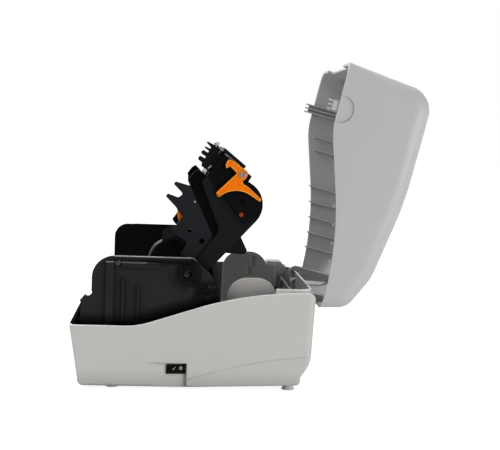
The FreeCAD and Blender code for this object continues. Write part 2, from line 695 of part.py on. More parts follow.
def serial_block(inset):
    """Body of the nine-way serial socket, a trapezoid with rounded corners."""
    rear = rear_wall_y(PORT_Z) - 1.0
    top = [V(SERIAL_X - 9.0 + inset, 0, PORT_Z + 4.2 - inset),
           V(SERIAL_X + 9.0 - inset, 0, PORT_Z + 4.2 - inset),
           V(SERIAL_X + 7.4 - inset, 0, PORT_Z - 4.2 + inset),
           V(SERIAL_X - 7.4 + inset, 0, PORT_Z - 4.2 + inset)]
    body = Part.Face(Part.makePolygon(top + top[:1])).extrude(V(0, 14.0, 0))
    body.translate(V(0, rear - 14.0, 0))
    return body


def serial_socket():
    """Serial socket: shell, hollow mouth and contact block."""
    rear = rear_wall_y(PORT_Z) - 1.0
    mouth = serial_block(0.9)
    mouth.translate(V(0, 8.5, 0))
    insert = serial_block(1.6)
    insert.translate(V(0, -3.0, 0))
    return serial_block(0.0).cut(mouth).fuse(insert).removeSplitter()


def jack_block(extra):
    """Round body of the power inlet."""
    rear = rear_wall_y(PORT_Z) - 1.0
    return Part.makeCylinder(JACK_RADIUS + extra, 15.0, V(JACK_X, rear - 15.0, PORT_Z), V(0, 1, 0))


def power_jack():
    """Direct current inlet with a centre pin."""
    rear = rear_wall_y(PORT_Z) - 1.0
    mouth = Part.makeCylinder(JACK_RADIUS - 2.6, 11.0, V(JACK_X, rear - 10.0, PORT_Z), V(0, 1, 0))
    pin = Part.makeCylinder(1.0, 8.0, V(JACK_X, rear - 10.5, PORT_Z), V(0, 1, 0))
    return jack_block(0.0).cut(mouth).fuse(pin).removeSplitter()


def lid_envelope():
    """Side view of the closed lid, deeper than its rim so that the rim can be cut."""
    low = RIM_FRONT_Z - 30.0
    run = LID_FRONT_LEAN / (LID_TOP_Z - RIM_FRONT_Z)
    return [(back((low - RIM_FRONT_Z) * run), low), (back(LID_FRONT_LEAN), LID_TOP_Z, LID_NOSE_RADIUS),
            (back(140.0), LID_TOP_Z, 400.0), (back(236.0), LID_TOP_Z - 14.3, 60.0),
            (back(276.5), LID_TOP_Z - 33.5, 22.0), (REAR_Y, RIM_REAR_Z, 30.0), (REAR_Y, low)]


def lid_block(inset):
    """Filled lid form, shrunk by the wall for its inside; the front edges are rounded less."""
    face = outline_face(lid_envelope())
    if inset > 0.0:
        face = face.makeOffset2D(-inset)
    half = HALF - inset
    face.translate(V(-half, 0, 0))
    body = face.extrude(V(2.0 * half, 0, 0))
    low = body.BoundBox.ZMin
    radius = LID_EDGE_RADIUS - inset
    sharp = max(LID_FRONT_EDGE_RADIUS - inset, 0.5)
    sizes = []
    for index, edge in enumerate(body.Edges):
        box = edge.BoundBox
        if box.XLength > 1e-6 or box.ZMax < low + 1.0:
            continue
        at_front = box.YMax < back(LID_FRONT_LEAN) and box.ZMin < low + 1.0
        ends = [vertex.Z for vertex in edge.Vertexes]
        if not at_front:
            sizes.append((index + 1, radius, radius))
        elif ends[0] < ends[1]:
            sizes.append((index + 1, sharp, radius))
        else:
            sizes.append((index + 1, radius, sharp))
    return graded_fillet(body, sizes)


def graded_fillet(body, sizes):
    """Round edges, each with its own radius at both ends."""
    document = FreeCAD.newDocument("rounding")
    base = document.addObject("Part::Feature", "body")
    base.Shape = body
    rounding = document.addObject("Part::Fillet", "rounding")
    rounding.Base = base
    rounding.Edges = sizes
    document.recompute()
    shape = rounding.Shape.copy()
    FreeCAD.closeDocument(document.Name)
    return shape


def above_rim(drop=0.0):
    """Space over the parting line."""
    points = rim_points(LID_GAP - drop) + [(REAR_Y + 40.0, RIM_REAR_Z + LID_GAP - drop),
                                           (REAR_Y + 40.0, LID_TOP_Z + 50.0),
                                           (back(-20.0), LID_TOP_Z + 50.0)]
    return slab(points, -WIDTH, WIDTH)


def lid_rib(side, station, drop):
    """Rib on a lid wall; it hangs below the rim, or starts above it where the drop is negative."""
    y = back(station)
    fin = block(INNER - LID_RIB_REACH, INNER, y - LID_RIB / 2.0, y + LID_RIB / 2.0,
                RIM_FRONT_Z - LID_RIB_DROP,
                LID_TOP_Z)
    return handed(fin.common(above_rim(drop)), side)


def lid_shell_closed():
    """Thin lid with finger grips, label mouth, inner ribs and the openings of button and lamp."""
    inside = lid_block(WALL)
    shell = lid_block(0.0).cut(inside).common(above_rim())
    fins = [lid_rib(side, station, LID_RIB_DROP) for side in SIDES for station in LID_RIB_STATIONS[side]]
    fins += [lid_rib(-1, station, -SHORT_RIB_RISE) for station in SHORT_RIB_STATIONS]
    for index in range(LOUVRE_COUNT):
        low = RIM_REAR_Z + LOUVRE_PITCH * (index + 1)
        fins.append(block(-LOUVRE_HALF_WIDTH, LOUVRE_HALF_WIDTH, REAR_Y - WALL - 3.0, REAR_Y - 1.0, low,
                          low + LID_RIB))
    beside = block(INNER - FREE_GAP, HALF, FRONT_Y, REAR_Y, 0, LID_TOP_Z).cut(above_rim())
    shell = joined([shell] + [fin.common(inside) for fin in fins])
    cuts = [handed(beside.copy(), side) for side in SIDES]
    cuts += [rod(V(0, back(GRIP_STATION), RIM_FRONT_Z + LID_GAP + GRIP_RISE), GRIP_RADIUS,
                 side * HALF - GRIP_DEPTH,
                 side * HALF + GRIP_DEPTH) for side in SIDES]
    for x, radius in ((BUTTON_X, BUTTON_RADIUS + FREE_GAP), (LENS_X, LENS_RADIUS)):
        cuts.append(post(x, back(BUTTON_STATION), radius, LID_TOP_Z - 2.0 * WALL, LID_TOP_Z + 1.0))
    cuts.append(block(-LID_MOUTH_HALF_WIDTH, LID_MOUTH_HALF_WIDTH, back(-5.0), back(LID_FRONT_LEAN),
                      RIM_FRONT_Z,
                      RIM_FRONT_Z + LID_GAP + LID_MOUTH_HEIGHT))
    return shell.cut(cuts)


def lid_tabs():
    """Three-pronged tabs on both lid walls that drop inside the base walls."""
    tabs = []
    for side in SIDES:
        outer = INNER - FREE_GAP
        inner = outer - LID_TAB_PLATE
        y = back(LID_TAB_STATION) - LID_TAB_WIDTH / 2.0
        low = RIM_FRONT_Z + LID_GAP - LID_TAB_DROP
        top = RIM_FRONT_Z + LID_TAB_RISE
        pieces = [block(inner, outer, y, y + LID_TAB_WIDTH, low + LID_TAB_PRONG, top)]
        pieces.append(block(inner, INNER, y, y + LID_TAB_WIDTH, RIM_FRONT_Z + 2.0 * LID_TAB_PLATE, top))
        for offset in (0.0, (LID_TAB_WIDTH - LID_RIB) / 2.0, LID_TAB_WIDTH - LID_RIB):
            pieces.append(block(inner - LID_TAB_REACH, outer - 1.0, y + offset, y + offset + LID_RIB, low,
                                top))
        tabs.append(handed(joined(pieces), side))
    return opened_lid(Part.makeCompound(tabs))


def lid_hinge_arms():
    """Arms that carry the lid; the left one also holds the spring barrel."""
    arms = []
    half = HINGE_ARM / 2.0
    inside = lid_block(WALL)
    barrel = HINGE + V(0, -BARREL_OFFSET, -BARREL_DROP)
    long_web = [(barrel.y - BARREL_RADIUS, barrel.z), (back(ARM_TIP), LID_TOP_Z),
                (back(ARM_TIP) + 4.5, LID_TOP_Z),
                (HINGE.y - 4.0, HINGE.z + 4.0), (HINGE.y, HINGE.z)]
    short_web = [(HINGE.y - 5.0, HINGE.z), (HINGE.y - 9.0, HINGE.z + 30.0), (REAR_Y, HINGE.z + 30.0),
                 (REAR_Y, RIM_REAR_Z + 2.0), (HINGE.y + 2.0, HINGE.z)]
    for side, web in ((1, short_web), (-1, long_web)):
        left = side * HINGE_X - half
        right = side * HINGE_X + half
        pieces = [slab(web, left, right).common(inside), rod(HINGE, HINGE_LUG_RADIUS, left, right)]
        bores = [rod(HINGE, HINGE_PIN_RADIUS + RUN_GAP, left, right)]
        if side < 0:
            pieces.append(rod(barrel, BARREL_RADIUS, left, right))
            bores.append(rod(barrel, BARREL_BORE, left + 1.5, right))
            collar = rod(barrel, BARREL_RADIUS - 1.4, right - 1.0, right)
            bores.append(collar.cut(rod(barrel, BARREL_BORE + 1.6, left, right)))
        arms.append(joined(pieces).cut(bores))
    return opened_lid(Part.makeCompound(arms))


def hinge_pins():
    """Two short pins between the hinge lugs."""
    half = HINGE_ARM / 2.0 + FREE_GAP + HINGE_LUG
    return Part.makeCompound([rod(HINGE, HINGE_PIN_RADIUS, side * HINGE_X - half, side * HINGE_X + half)
                              for side in SIDES])


def feed_button():
    """Round push button with a collar behind the lid."""
    y = back(BUTTON_STATION)
    under = LID_TOP_Z - WALL - FREE_GAP
    cap = post(BUTTON_X, y, BUTTON_RADIUS, under - 1.0, LID_TOP_Z + BUTTON_PROUD)
    cap = cap.makeFillet(0.8, [edge for edge in cap.Edges if edge.BoundBox.ZMin > LID_TOP_Z])
    collar = post(BUTTON_X, y, BUTTON_RADIUS + 2.0, under - 1.5, under)
    return opened_lid(cap.fuse(collar).removeSplitter())


def status_lens():
    """Light pipe beside the button."""
    return opened_lid(post(LENS_X, back(BUTTON_STATION), LENS_RADIUS, LID_TOP_Z - WALL - 3.0,
                           LID_TOP_Z + 0.6))


def frame_outline(top, front):
    """Side view of a frame plate: latch nose in front, round shoulder, sloping tail."""
    nose = back(FRAME_FRONT)
    shoulder = 26.0 if front == FRAME_FRONT else 17.0
    rear = back(FRAME_REAR)
    return [(nose - 9.4, FRAME_BOTTOM_Z), (nose - 11.8, 34.0), (nose - 12.2, 89.5), (nose - 11.6, 97.8),
            (nose - 13.4, 99.6), (nose - 7.2, 107.2), (nose - 5.2, 105.0), (nose - 2.6, 105.0),
            (nose + 1.0, 109.0),
            (nose, 112.0), (nose, 122.0), (back(front), 125.0), (back(front), top, shoulder),
            (rear - 17.0 - 0.7 * (top - FRAME_TOP_Z), top, 6.0), (rear + 4.3, 132.0, 4.0),
            (rear + 13.0, 118.0, 6.0),
            (rear + 15.0, 98.0, 8.0), (rear, 66.0), (rear, FRAME_BOTTOM_Z)]


def frame_plate(side):
    """One black side frame with its flange, ribs, pivot boss and bearings."""
    tall = side < 0
    top = FRAME_TALL_Z if tall else FRAME_TOP_Z
    front = FRAME_TALL_FRONT if tall else FRAME_FRONT
    outer = FRAME_X + FRAME_PLATE
    flange_end = FRAME_REAR - FRAME_FLANGE_REAR - 0.7 * (top - FRAME_TOP_Z)
    parts = [slab(frame_outline(top, front), FRAME_X, outer)]
    parts.append(block(FRAME_X, outer + FRAME_FLANGE, back(front + FRAME_FLANGE_FRONT), back(flange_end),
                       top - 2.5, top))
    for station, height, width in FRAME_RIBS:
        parts.append(block(outer - 1.0, outer + FRAME_RIB_REACH, back(station), back(station) + width,
                           LEDGE_Z + LEDGE_THICKNESS, height))
    boss = V(0, back(BOSS_STATION), BOSS_Z)
    tail_boss = V(0, back(TAIL_BOSS_STATION), TAIL_BOSS_Z)
    parts.append(rod(boss, BOSS_RADIUS, outer - 1.0, outer + 2.0))
    parts.append(rod(tail_boss, TAIL_BOSS_RADIUS, outer - 1.0, outer + 1.6))
    ring = rod(boss, BOSS_ARC_RADIUS + BOSS_ARC, outer - 1.0,
               outer + BOSS_ARC).cut(rod(boss, BOSS_ARC_RADIUS, 0, HALF))
    parts.append(ring.common(block(0, HALF, boss.y - 2.0 * BOSS_ARC_RADIUS, boss.y, 0, boss.z)))
    if not tall:
        start, end, low, high = FRAME_BAR
        parts.append(block(outer - 1.0, outer + 2.2, back(start), back(end), low, high))
        parts.append(rod(V(0, back(FRAME_KNOB[0]), FRAME_KNOB[1]), 2.2, outer - 1.0, outer + 4.0))
    parts.append(rod(PIVOT, PIVOT_RADIUS + 4.5, MODULE_X + MODULE_PLATE + FREE_GAP, FRAME_X + 1.0))
    plate = joined(parts)
    holes = [rod(PIVOT, PIVOT_RADIUS, 0, outer - BLIND_SKIN), rod(boss, BOSS_HOLE, outer - 1.5, HALF),
             rod(STUD, STUD_RADIUS, 0, outer - BLIND_SKIN),
             rod(tail_boss, BOSS_HOLE - 1.0, outer - 1.0, HALF)]
    if tall:
        holes.append(rod(PLATEN, PLATEN_SHAFT_RADIUS + 2.0, 0, HALF))
        holes.append(rod(MOTOR, PINION_TEETH * GEAR_MODULE / 2.0 + 2.0, 0, HALF))
    plate = plate.cut(holes)
    if tall:
        plate = joined([plate, rod(idler_centre(), IDLER_POST_RADIUS, FRAME_X + 1.0,
                                   gear_plane() + GEAR_WIDTH)])
    return handed(plate, side)


def side_ledges():
    """Black shelves between the frame plates and the base walls."""
    outer = FRAME_X + FRAME_PLATE
    shelves = []
    for side in SIDES:
        start = 46.0 if side < 0 else 14.0
        shelf = block(outer, HALF - WALL - FREE_GAP, back(start), back(FRAME_REAR), LEDGE_Z,
                      LEDGE_Z + LEDGE_THICKNESS)
        shelves.append(handed(shelf, side))
    return Part.makeCompound(shelves)


def media_deck():
    """Label path between the frames: deck, two skirts with platen lugs and a cross tray."""
    half = DECK_HALF_WIDTH
    front = back(RAMP_FRONT)
    rear = back(RAMP_REAR)
    ramp = [(front, RAMP_TOP_Z), (rear, DECK_Z), (back(FRAME_REAR), DECK_Z),
            (back(FRAME_REAR), DECK_Z - DECK_SKIN),
            (rear - 1.0, DECK_Z - DECK_SKIN), (front, RAMP_TOP_Z - 1.3 * DECK_SKIN)]
    lug = [(back(17.0), TRAY_Z), (back(17.0), RAMP_TOP_Z, 5.0), (front - 2.0, RAMP_TOP_Z + 1.5, 4.0),
           (front + 3.0, RAMP_TOP_Z - 3.0), (rear, DECK_Z), (back(FRAME_REAR), DECK_Z),
           (back(FRAME_REAR), TRAY_Z)]
    parts = [slab(ramp, -half, half)]
    parts += [handed(slab(lug, half - DECK_SKIN, half), side) for side in SIDES]
    parts.append(block(-FRAME_X, FRAME_X, back(17.0), back(FRAME_REAR), TRAY_Z - DECK_SKIN, TRAY_Z))
    deck = joined(parts)
    gap = MOTOR_RADIUS + 2.0
    cuts = [rod(PLATEN, BUSH_RADIUS, -half, half),
            block(-FRAME_X - 1.0, 12.0 - FRAME_X + MOTOR_DEPTH, MOTOR.y - gap, MOTOR.y + gap, 0,
                  TRAY_Z + 1.0)]
    cuts += [post(x, back(CABLE_ROUTE[0][0]), CABLE_RADIUS, DECK_Z - 2.0 * DECK_SKIN, DECK_Z + 1.0)
             for x in cable_places()]
    cuts.append(block(-9.0, 9.0, back(66.0), back(75.0), DECK_Z - 2.0 * DECK_SKIN, DECK_Z + 1.0))
    return deck.cut(cuts)


def label_sensor():
    """Gap sensor let into the deck."""
    body = block(-9.0, 9.0, back(66.0), back(75.0), DECK_Z - 8.0, DECK_Z - 0.3)
    eye = post(0.0, back(70.5), 1.5, DECK_Z - 1.3, DECK_Z + 1.0)
    return body.cut(eye)


def front_bezel():
    """Black lip in the front wall's cut-out, with a stem inside the wall that carries the tear bar."""
    low = BEZEL_LOW_Z
    high = RIM_FRONT_Z - FREE_GAP / 2.0
    lip = [(front_wall_y(low), low), (front_wall_y(high), high), (front_wall_y(high) + BEZEL_LIP, high),
           (front_wall_y(low) + BEZEL_LIP, low)]
    half = BEZEL_HALF_WIDTH - FREE_GAP / 2.0
    stem = [(front_wall_y(BEZEL_STEM_Z) + WALL + RUN_GAP, BEZEL_STEM_Z),
            (front_wall_y(low) + WALL + RUN_GAP, low),
            (front_wall_y(low), low), (front_wall_y(RAMP_TOP_Z), RAMP_TOP_Z),
            (back(BEZEL_DEPTH), RAMP_TOP_Z),
            (back(BEZEL_DEPTH), BEZEL_STEM_Z)]
    inner = DECK_HALF_WIDTH - DECK_SKIN
    return joined([slab(lip, -half, half), slab(stem, -inner, inner)])


def tear_bar():
    """Toothed steel strip in front of the platen."""
    half = DECK_HALF_WIDTH - DECK_SKIN - 1.0
    pitch = 2.0 * half / TEAR_TEETH
    points = [V(-half, 0, TEAR_ROOT_Z)]
    for index in range(TEAR_TEETH):
        points.append(V(-half + index * pitch, 0, TEAR_EDGE_Z - 1.2))
        points.append(V(-half + (index + 0.5) * pitch, 0, TEAR_EDGE_Z))
    points += [V(half, 0, TEAR_EDGE_Z - 1.2), V(half, 0, TEAR_ROOT_Z)]
    strip = Part.Face(Part.makePolygon(points + points[:1])).extrude(V(0, 1.2, 0))
    strip.translate(V(0, back(BEZEL_DEPTH), 0))
    return strip


def platen_bushes():
    """Plain bearings of the platen shaft in the deck lugs."""
    half = DECK_HALF_WIDTH
    bush = rod(PLATEN, BUSH_RADIUS, half - DECK_SKIN, half).cut(
        rod(PLATEN, PLATEN_SHAFT_RADIUS + RUN_GAP, half - DECK_SKIN, half))
    return Part.makeCompound([handed(bush.copy(), side) for side in SIDES])


def platen_shaft():
    """Steel shaft from the right bush to the gear outside the left frame."""
    return rod(PLATEN, PLATEN_SHAFT_RADIUS, -gear_plane() - GEAR_WIDTH, DECK_HALF_WIDTH)


def platen_rubber():
    """Rubber sleeve that drives the labels."""
    sleeve = rod(PLATEN, PLATEN_RADIUS, -PLATEN_HALF_LENGTH, PLATEN_HALF_LENGTH)
    return sleeve.cut(rod(PLATEN, PLATEN_SHAFT_RADIUS, -HALF, HALF))


def gear_plane():
    """Distance of the gears' inner face from the middle plane."""
    return FRAME_X + FRAME_PLATE + 1.5


def idler_centre():
    """Idler place from its two meshing distances."""
    to_pinion = (IDLER_TEETH + PINION_TEETH) * GEAR_MODULE / 2.0
    to_platen = (IDLER_TEETH + PLATEN_TEETH) * GEAR_MODULE / 2.0
    span = MOTOR - PLATEN
    along = (to_platen ** 2 - to_pinion ** 2 + span.Length ** 2) / (2.0 * span.Length)
    off = math.sqrt(to_platen ** 2 - along ** 2)
    unit = V(span).normalize()
    return PLATEN + unit * along + V(0, unit.z, -unit.y) * off


def gear(centre, teeth, phase, bore):
    """Spur gear on the left side; phase is the side-view angle of one tooth's middle."""
    pitch_radius = teeth * GEAR_MODULE / 2.0
    half_tooth = (math.pi * GEAR_MODULE / 2.0 - GEAR_BACKLASH) / 2.0 / pitch_radius
    root = pitch_radius - 1.25 * GEAR_MODULE
    tip = pitch_radius + 0.9 * GEAR_MODULE
    spread = 1.25 * GEAR_MODULE * math.tan(math.radians(20.0))
    points = []
    for index in range(teeth):
        middle = phase + 2.0 * math.pi * index / teeth
        for radius, half in ((root, half_tooth + spread / root), (tip, half_tooth - 0.7 * spread / tip)):
            points.append((radius, middle - half))
        for radius, half in ((tip, half_tooth - 0.7 * spread / tip), (root, half_tooth + spread / root)):
            points.append((radius, middle + half))
    places = [V(0, centre.y + radius * math.cos(angle), centre.z + radius * math.sin(angle))
              for radius, angle in points]
    wheel = Part.Face(Part.makePolygon(places + places[:1])).extrude(V(-GEAR_WIDTH, 0, 0))
    wheel.translate(V(-gear_plane(), 0, 0))
    return wheel.cut(rod(centre, bore, -HALF, 0))


def direction(start, end):
    """Side-view angle of the line between two points."""
    return math.atan2(end.z - start.z, end.y - start.y)


def gear_phases():
    """Tooth angles that put the three gears in mesh: a tooth of one in a gap of the next."""
    idler = idler_centre()
    platen = direction(PLATEN, idler)
    idler_phase = direction(idler, PLATEN) + math.pi / IDLER_TEETH
    toward_pinion = direction(idler, MOTOR)
    turn = (toward_pinion - idler_phase) * IDLER_TEETH
    pinion = direction(MOTOR, idler) + (math.pi + turn) / PINION_TEETH
    return platen, idler_phase, pinion


def platen_gear():
    """Driven gear on the platen shaft."""
    return gear(PLATEN, PLATEN_TEETH, gear_phases()[0], PLATEN_SHAFT_RADIUS)


def idler_gear():
    """Idler that turns on the frame's post."""
    return gear(idler_centre(), IDLER_TEETH, gear_phases()[1], IDLER_POST_RADIUS + RUN_GAP)


def motor_pinion():
    """Pinion with its motor shaft."""
    wheel = gear(MOTOR, PINION_TEETH, gear_phases()[2], 1.0)
    return wheel.fuse(rod(MOTOR, MOTOR_SHAFT_RADIUS, -gear_plane() - GEAR_WIDTH,
                          -FRAME_X + 6.0)).removeSplitter()


def stepper_motor():
    """Round stepper motor behind the left frame plate, with two mounting ears."""
    body = rod(MOTOR, MOTOR_RADIUS, -FRAME_X, -FRAME_X + MOTOR_DEPTH)
    ears = block(-FRAME_X, -FRAME_X + 2.0, MOTOR.y - MOTOR_RADIUS - 6.0, MOTOR.y + MOTOR_RADIUS + 6.0,
                 MOTOR.z - 5.0, MOTOR.z + 5.0)
    return body.fuse(ears).cut(rod(MOTOR, MOTOR_SHAFT_RADIUS + RUN_GAP, -FRAME_X - 1.0,
                                   -FRAME_X + 8.0)).removeSplitter()


def bin_outline(skin):
    """Side view of the roll bay; the skin thickness shrinks it for the inside."""
    return [(back(BIN_FRONT) + skin, LID_TOP_Z), (back(BIN_FRONT) + skin, BIN_FLOOR_Z - BIN_SKIN + skin,
                                                  BIN_CORNER),
            (back(BIN_REAR) - skin, BIN_FLOOR_Z - BIN_SKIN + skin, BIN_CORNER),
            (back(BIN_REAR) - skin, LID_TOP_Z)]


def media_bin():
    """Grey tub for the label roll with slots for the holders."""
    half = BIN_HALF_WIDTH
    tub = slab(bin_outline(0.0), -half, half).cut(slab(bin_outline(BIN_SKIN), BIN_SKIN - half,
                                                       half - BIN_SKIN))
    low = [(point[0], point[1] - BIN_RIM_DROP) + point[2:] for point in rim_points()]
    under = low + [(REAR_Y, RIM_REAR_Z - BIN_RIM_DROP), (REAR_Y, 0.0), (back(-20.0), 0.0)]
    tub = tub.common(slab(under, -WIDTH, WIDTH))
    front = block(-FRAME_X - FRAME_PLATE - 4.0, FRAME_X + FRAME_PLATE + 4.0, back(BIN_FRONT) - 1.0,
                  back(BIN_FRONT) + BIN_SKIN + 0.5, DECK_Z + 2.0, LID_TOP_Z)
    slots = [front]
    reach = HOLDER_STEM / 2.0 + FREE_GAP
    for side in SIDES:
        inner = HOLDER_X - HOLDER_TRAVEL - HOLDER_PLATE
        slots.append(handed(block(inner, HOLDER_X + HOLDER_PLATE + 2.0, ROLL.y - reach, ROLL.y + reach, 0.0,
                                  BIN_FLOOR_Z + 1.0), side))
        slots.append(hinge_notch(side))
        lug = HINGE_ARM / 2.0 + FREE_GAP + HINGE_LUG + FREE_GAP
        slots.append(block(side * HINGE_X - lug, side * HINGE_X + lug,
                           HINGE.y - HINGE_LUG_RADIUS - FREE_GAP,
                           REAR_Y, HINGE_Z - 15.0, LID_TOP_Z))
    hub = post(0.0, ROLL.y, HOLDER_POST_RADIUS, rack_base() - 1.0, BIN_FLOOR_Z - 0.5)
    return joined([tub.cut(slots), hub])


def bin_shelf():
    """Insert at the tub's left side: a raised wall and a shelf behind the roll."""
    outer = -BIN_HALF_WIDTH + BIN_SKIN
    low = RIM_REAR_Z - SHELF_DEPTH
    rear = back(SHELF_REAR)
    outline = [(back(SHELF_FRONT), low), (back(SHELF_FRONT), SHELF_TOP_Z, 2.0),
               (rear - 8.0, SHELF_TOP_Z, 4.0),
               (rear, SHELF_TOP_Z - 11.0, 3.0), (rear, RIM_REAR_Z - BIN_RIM_DROP + FREE_GAP / 2.0),
               (back(BIN_REAR) - BIN_SKIN, RIM_REAR_Z - BIN_RIM_DROP + FREE_GAP / 2.0),
               (back(BIN_REAR) - BIN_SKIN, low)]
    wall = [(back(BIN_FRONT) + 2.0 * BIN_SKIN, low - SHELF_DEPTH),
            (back(BIN_FRONT) + 2.0 * BIN_SKIN, SHELF_WALL_Z, 4.0),
            (back(SHELF_FRONT) + 1.0, SHELF_WALL_Z + 2.0), (back(SHELF_FRONT) + 1.0, low - SHELF_DEPTH)]
    return joined([slab(outline, outer, outer + SHELF_WIDTH), slab(wall, outer, outer + BIN_SKIN)])


def rack_base():
    """Underside of racks and pinion beneath the bay floor."""
    return BIN_FLOOR_Z - BIN_SKIN - FREE_GAP - RACK_THICKNESS


def rack_teeth_count():
    """Teeth along a rack, enough for its travel past the pinion."""
    return int((HOLDER_X + HOLDER_TRAVEL) / (math.pi * RACK_TOOTH_MODULE))


def holder_rack():
    """Toothed bar of the right holder, which runs behind the pinion."""
    pitch = math.pi * RACK_TOOTH_MODULE
    line = ROLL.y + HOLDER_PINION_TEETH * RACK_TOOTH_MODULE / 2.0
    root = line + 1.25 * RACK_TOOTH_MODULE
    tip = line - 0.9 * RACK_TOOTH_MODULE
    flank = RACK_TOOTH_MODULE * math.tan(math.radians(20.0))
    narrow = (pitch / 2.0 - GEAR_BACKLASH) / 2.0
    end = -pitch * (rack_teeth_count() // 2 + 0.5)
    outer = HOLDER_X + HOLDER_PLATE
    points = [V(end, root + RACK_BACK, 0), V(outer, root + RACK_BACK, 0), V(outer, root, 0)]
    for index in reversed(range(int(math.floor((outer - end) / pitch)))):
        middle = end + (index + 0.5) * pitch
        points += [V(middle + narrow + 1.25 * flank, root, 0), V(middle + narrow - 0.9 * flank, tip, 0),
                   V(middle - narrow + 0.9 * flank, tip, 0), V(middle - narrow - 1.25 * flank, root, 0)]
    points.append(V(end, root, 0))
    rack = Part.Face(Part.makePolygon(points + points[:1])).extrude(V(0, 0, RACK_THICKNESS))
    rack.translate(V(0, 0, rack_base()))
    return rack


def media_holder(side):
    """Roll holder: round-topped plate, domed outside, core hub inside, stem and rack below."""
    inner = HOLDER_X - HOLDER_PLATE / 2.0
    outer = HOLDER_X + HOLDER_PLATE / 2.0
    foot = BIN_FLOOR_Z + FREE_GAP
    top = HOLDER_TOP_Z[side]
    front = ROLL.y - HOLDER_HALF_WIDTH
    rear = ROLL.y + HOLDER_HALF_WIDTH
    outline = [(front, foot), (rear, foot), (rear, top, HOLDER_SHOULDER), (front, top, HOLDER_SHOULDER)]
    bulge = (HOLDER_HALF_WIDTH ** 2 + HOLDER_DOME ** 2) / (2.0 * HOLDER_DOME)
    dome = Part.makeSphere(bulge, V(outer + HOLDER_DOME - bulge, ROLL.y, ROLL.z))
    half = HOLDER_STEM / 2.0
    root = ROLL.y + HOLDER_PINION_TEETH * RACK_TOOTH_MODULE / 2.0 + 1.25 * RACK_TOOTH_MODULE + RACK_BACK
    parts = [slab(outline, inner, outer), dome.common(slab(outline, outer - 0.5, HALF))]
    parts.append(rod(ROLL, HOLDER_CORE_RADIUS, inner - HOLDER_CORE_LENGTH, inner + 1.0))
    parts.append(block(inner, outer, ROLL.y - half, ROLL.y + half, rack_base(), foot + 1.0))
    parts.append(block(inner, outer + HOLDER_PLATE / 2.0, ROLL.y - half, root, rack_base(),
                       rack_base() + RACK_THICKNESS))
    parts.append(holder_rack())
    if side < 0:
        reach = WING_REAR - ROLL_STATION
        parts.append(block(inner, inner + HOLDER_PLATE / 2.0, ROLL.y - reach, front + 1.0, WING_LOW_Z,
                           WING_TOP_Z))
    slots = [block(inner - 1.0, inner + 1.6, ROLL.y - 13.5, ROLL.y - 8.5, top - 20.0, top - 5.0),
             block(inner - 1.0, inner + 1.6, ROLL.y - 9.0, ROLL.y - 4.0, top - 31.0, top - 19.0)]
    holder = joined(parts).cut([slot.cut(rod(ROLL, HOLDER_CORE_RADIUS, 0, HALF)) for slot in slots])
    if side < 0:
        holder.rotate(V(0, ROLL.y, 0), V(0, 0, 1), 180.0)
    return holder


def holder_pinion():
    """Pinion under the bay that keeps both holders centred."""
    pitch_radius = HOLDER_PINION_TEETH * RACK_TOOTH_MODULE / 2.0
    half_tooth = (math.pi * RACK_TOOTH_MODULE / 2.0 - GEAR_BACKLASH) / 2.0 / pitch_radius
    root = pitch_radius - 1.25 * RACK_TOOTH_MODULE
    tip = pitch_radius + 0.9 * RACK_TOOTH_MODULE
    spread = RACK_TOOTH_MODULE * math.tan(math.radians(20.0))
    points = []
    for index in range(HOLDER_PINION_TEETH):
        middle = math.pi / 2.0 + math.pi / HOLDER_PINION_TEETH + 2.0 * math.pi * index / HOLDER_PINION_TEETH
        for radius, half in ((root, -half_tooth - spread / root), (tip, -half_tooth + 0.9 * spread / tip),
                             (tip, half_tooth - 0.9 * spread / tip), (root, half_tooth + spread / root)):
            points.append(V(radius * math.cos(middle + half), ROLL.y + radius * math.sin(middle + half), 0))
    wheel = Part.Face(Part.makePolygon(points + points[:1])).extrude(V(0, 0, RACK_THICKNESS))
    wheel.translate(V(0, 0, rack_base()))
    return wheel.cut(post(0.0, ROLL.y, HOLDER_POST_RADIUS + RUN_GAP, 0.0, BIN_FLOOR_Z))


def module_side(side):
    """Side plate of the print module with its pivot, spool and lever bearings."""
    outer = MODULE_X + MODULE_PLATE
    plate = joined([slab(SIDE_OUTLINE, MODULE_X, outer, PIVOT),
                    slab(SIDE_RIB, outer - SIDE_RIB_RISE, outer + SIDE_RIB_RISE, PIVOT)])
    holes = [slab(SIDE_POCKET, outer - SIDE_POCKET_DEPTH, HALF, PIVOT),
             rod(PIVOT, PIVOT_RADIUS + RUN_GAP, 0, HALF), rod(LEVER, LEVER_SHAFT_RADIUS + RUN_GAP, 0, HALF),
             rod(TAKEUP, TAKEUP_JOURNAL + RUN_GAP, 0, HALF),
             rod(PIVOT + V(0, *SIDE_HOLE_POINT), SIDE_HOLE_RADIUS, MODULE_X + BLIND_SKIN, HALF)]
    return opened_module(handed(plate.cut(holes), side))


def module_cover():
    """Curved cover over the take-up spool with two stop ears."""
    parts = [slab(COVER_OUTLINE, -MODULE_X, MODULE_X, PIVOT)]
    parts += [handed(slab(EAR_OUTLINE, MODULE_X - 9.0, MODULE_X, PIVOT), side) for side in SIDES]
    cover = joined(parts)
    return opened_module(cover)


def front_plate():
    """Bar across the front of the print module."""
    outer = MODULE_X + MODULE_PLATE
    return opened_module(slab(FRONT_OUTLINE, -outer, outer, PIVOT))


def head_carrier():
    """Cross beam that holds the print head between the side plates."""
    beam = block(-MODULE_X, MODULE_X, back(CARRIER_FRONT), back(CARRIER_REAR), CARRIER_BOTTOM_Z,
                 CARRIER_TOP_Z)
    return opened_module(beam)


def head_under_z():
    """Height of the print line that faces the platen."""
    return PLATEN_Z + PLATEN_RADIUS + HEAD_GAP


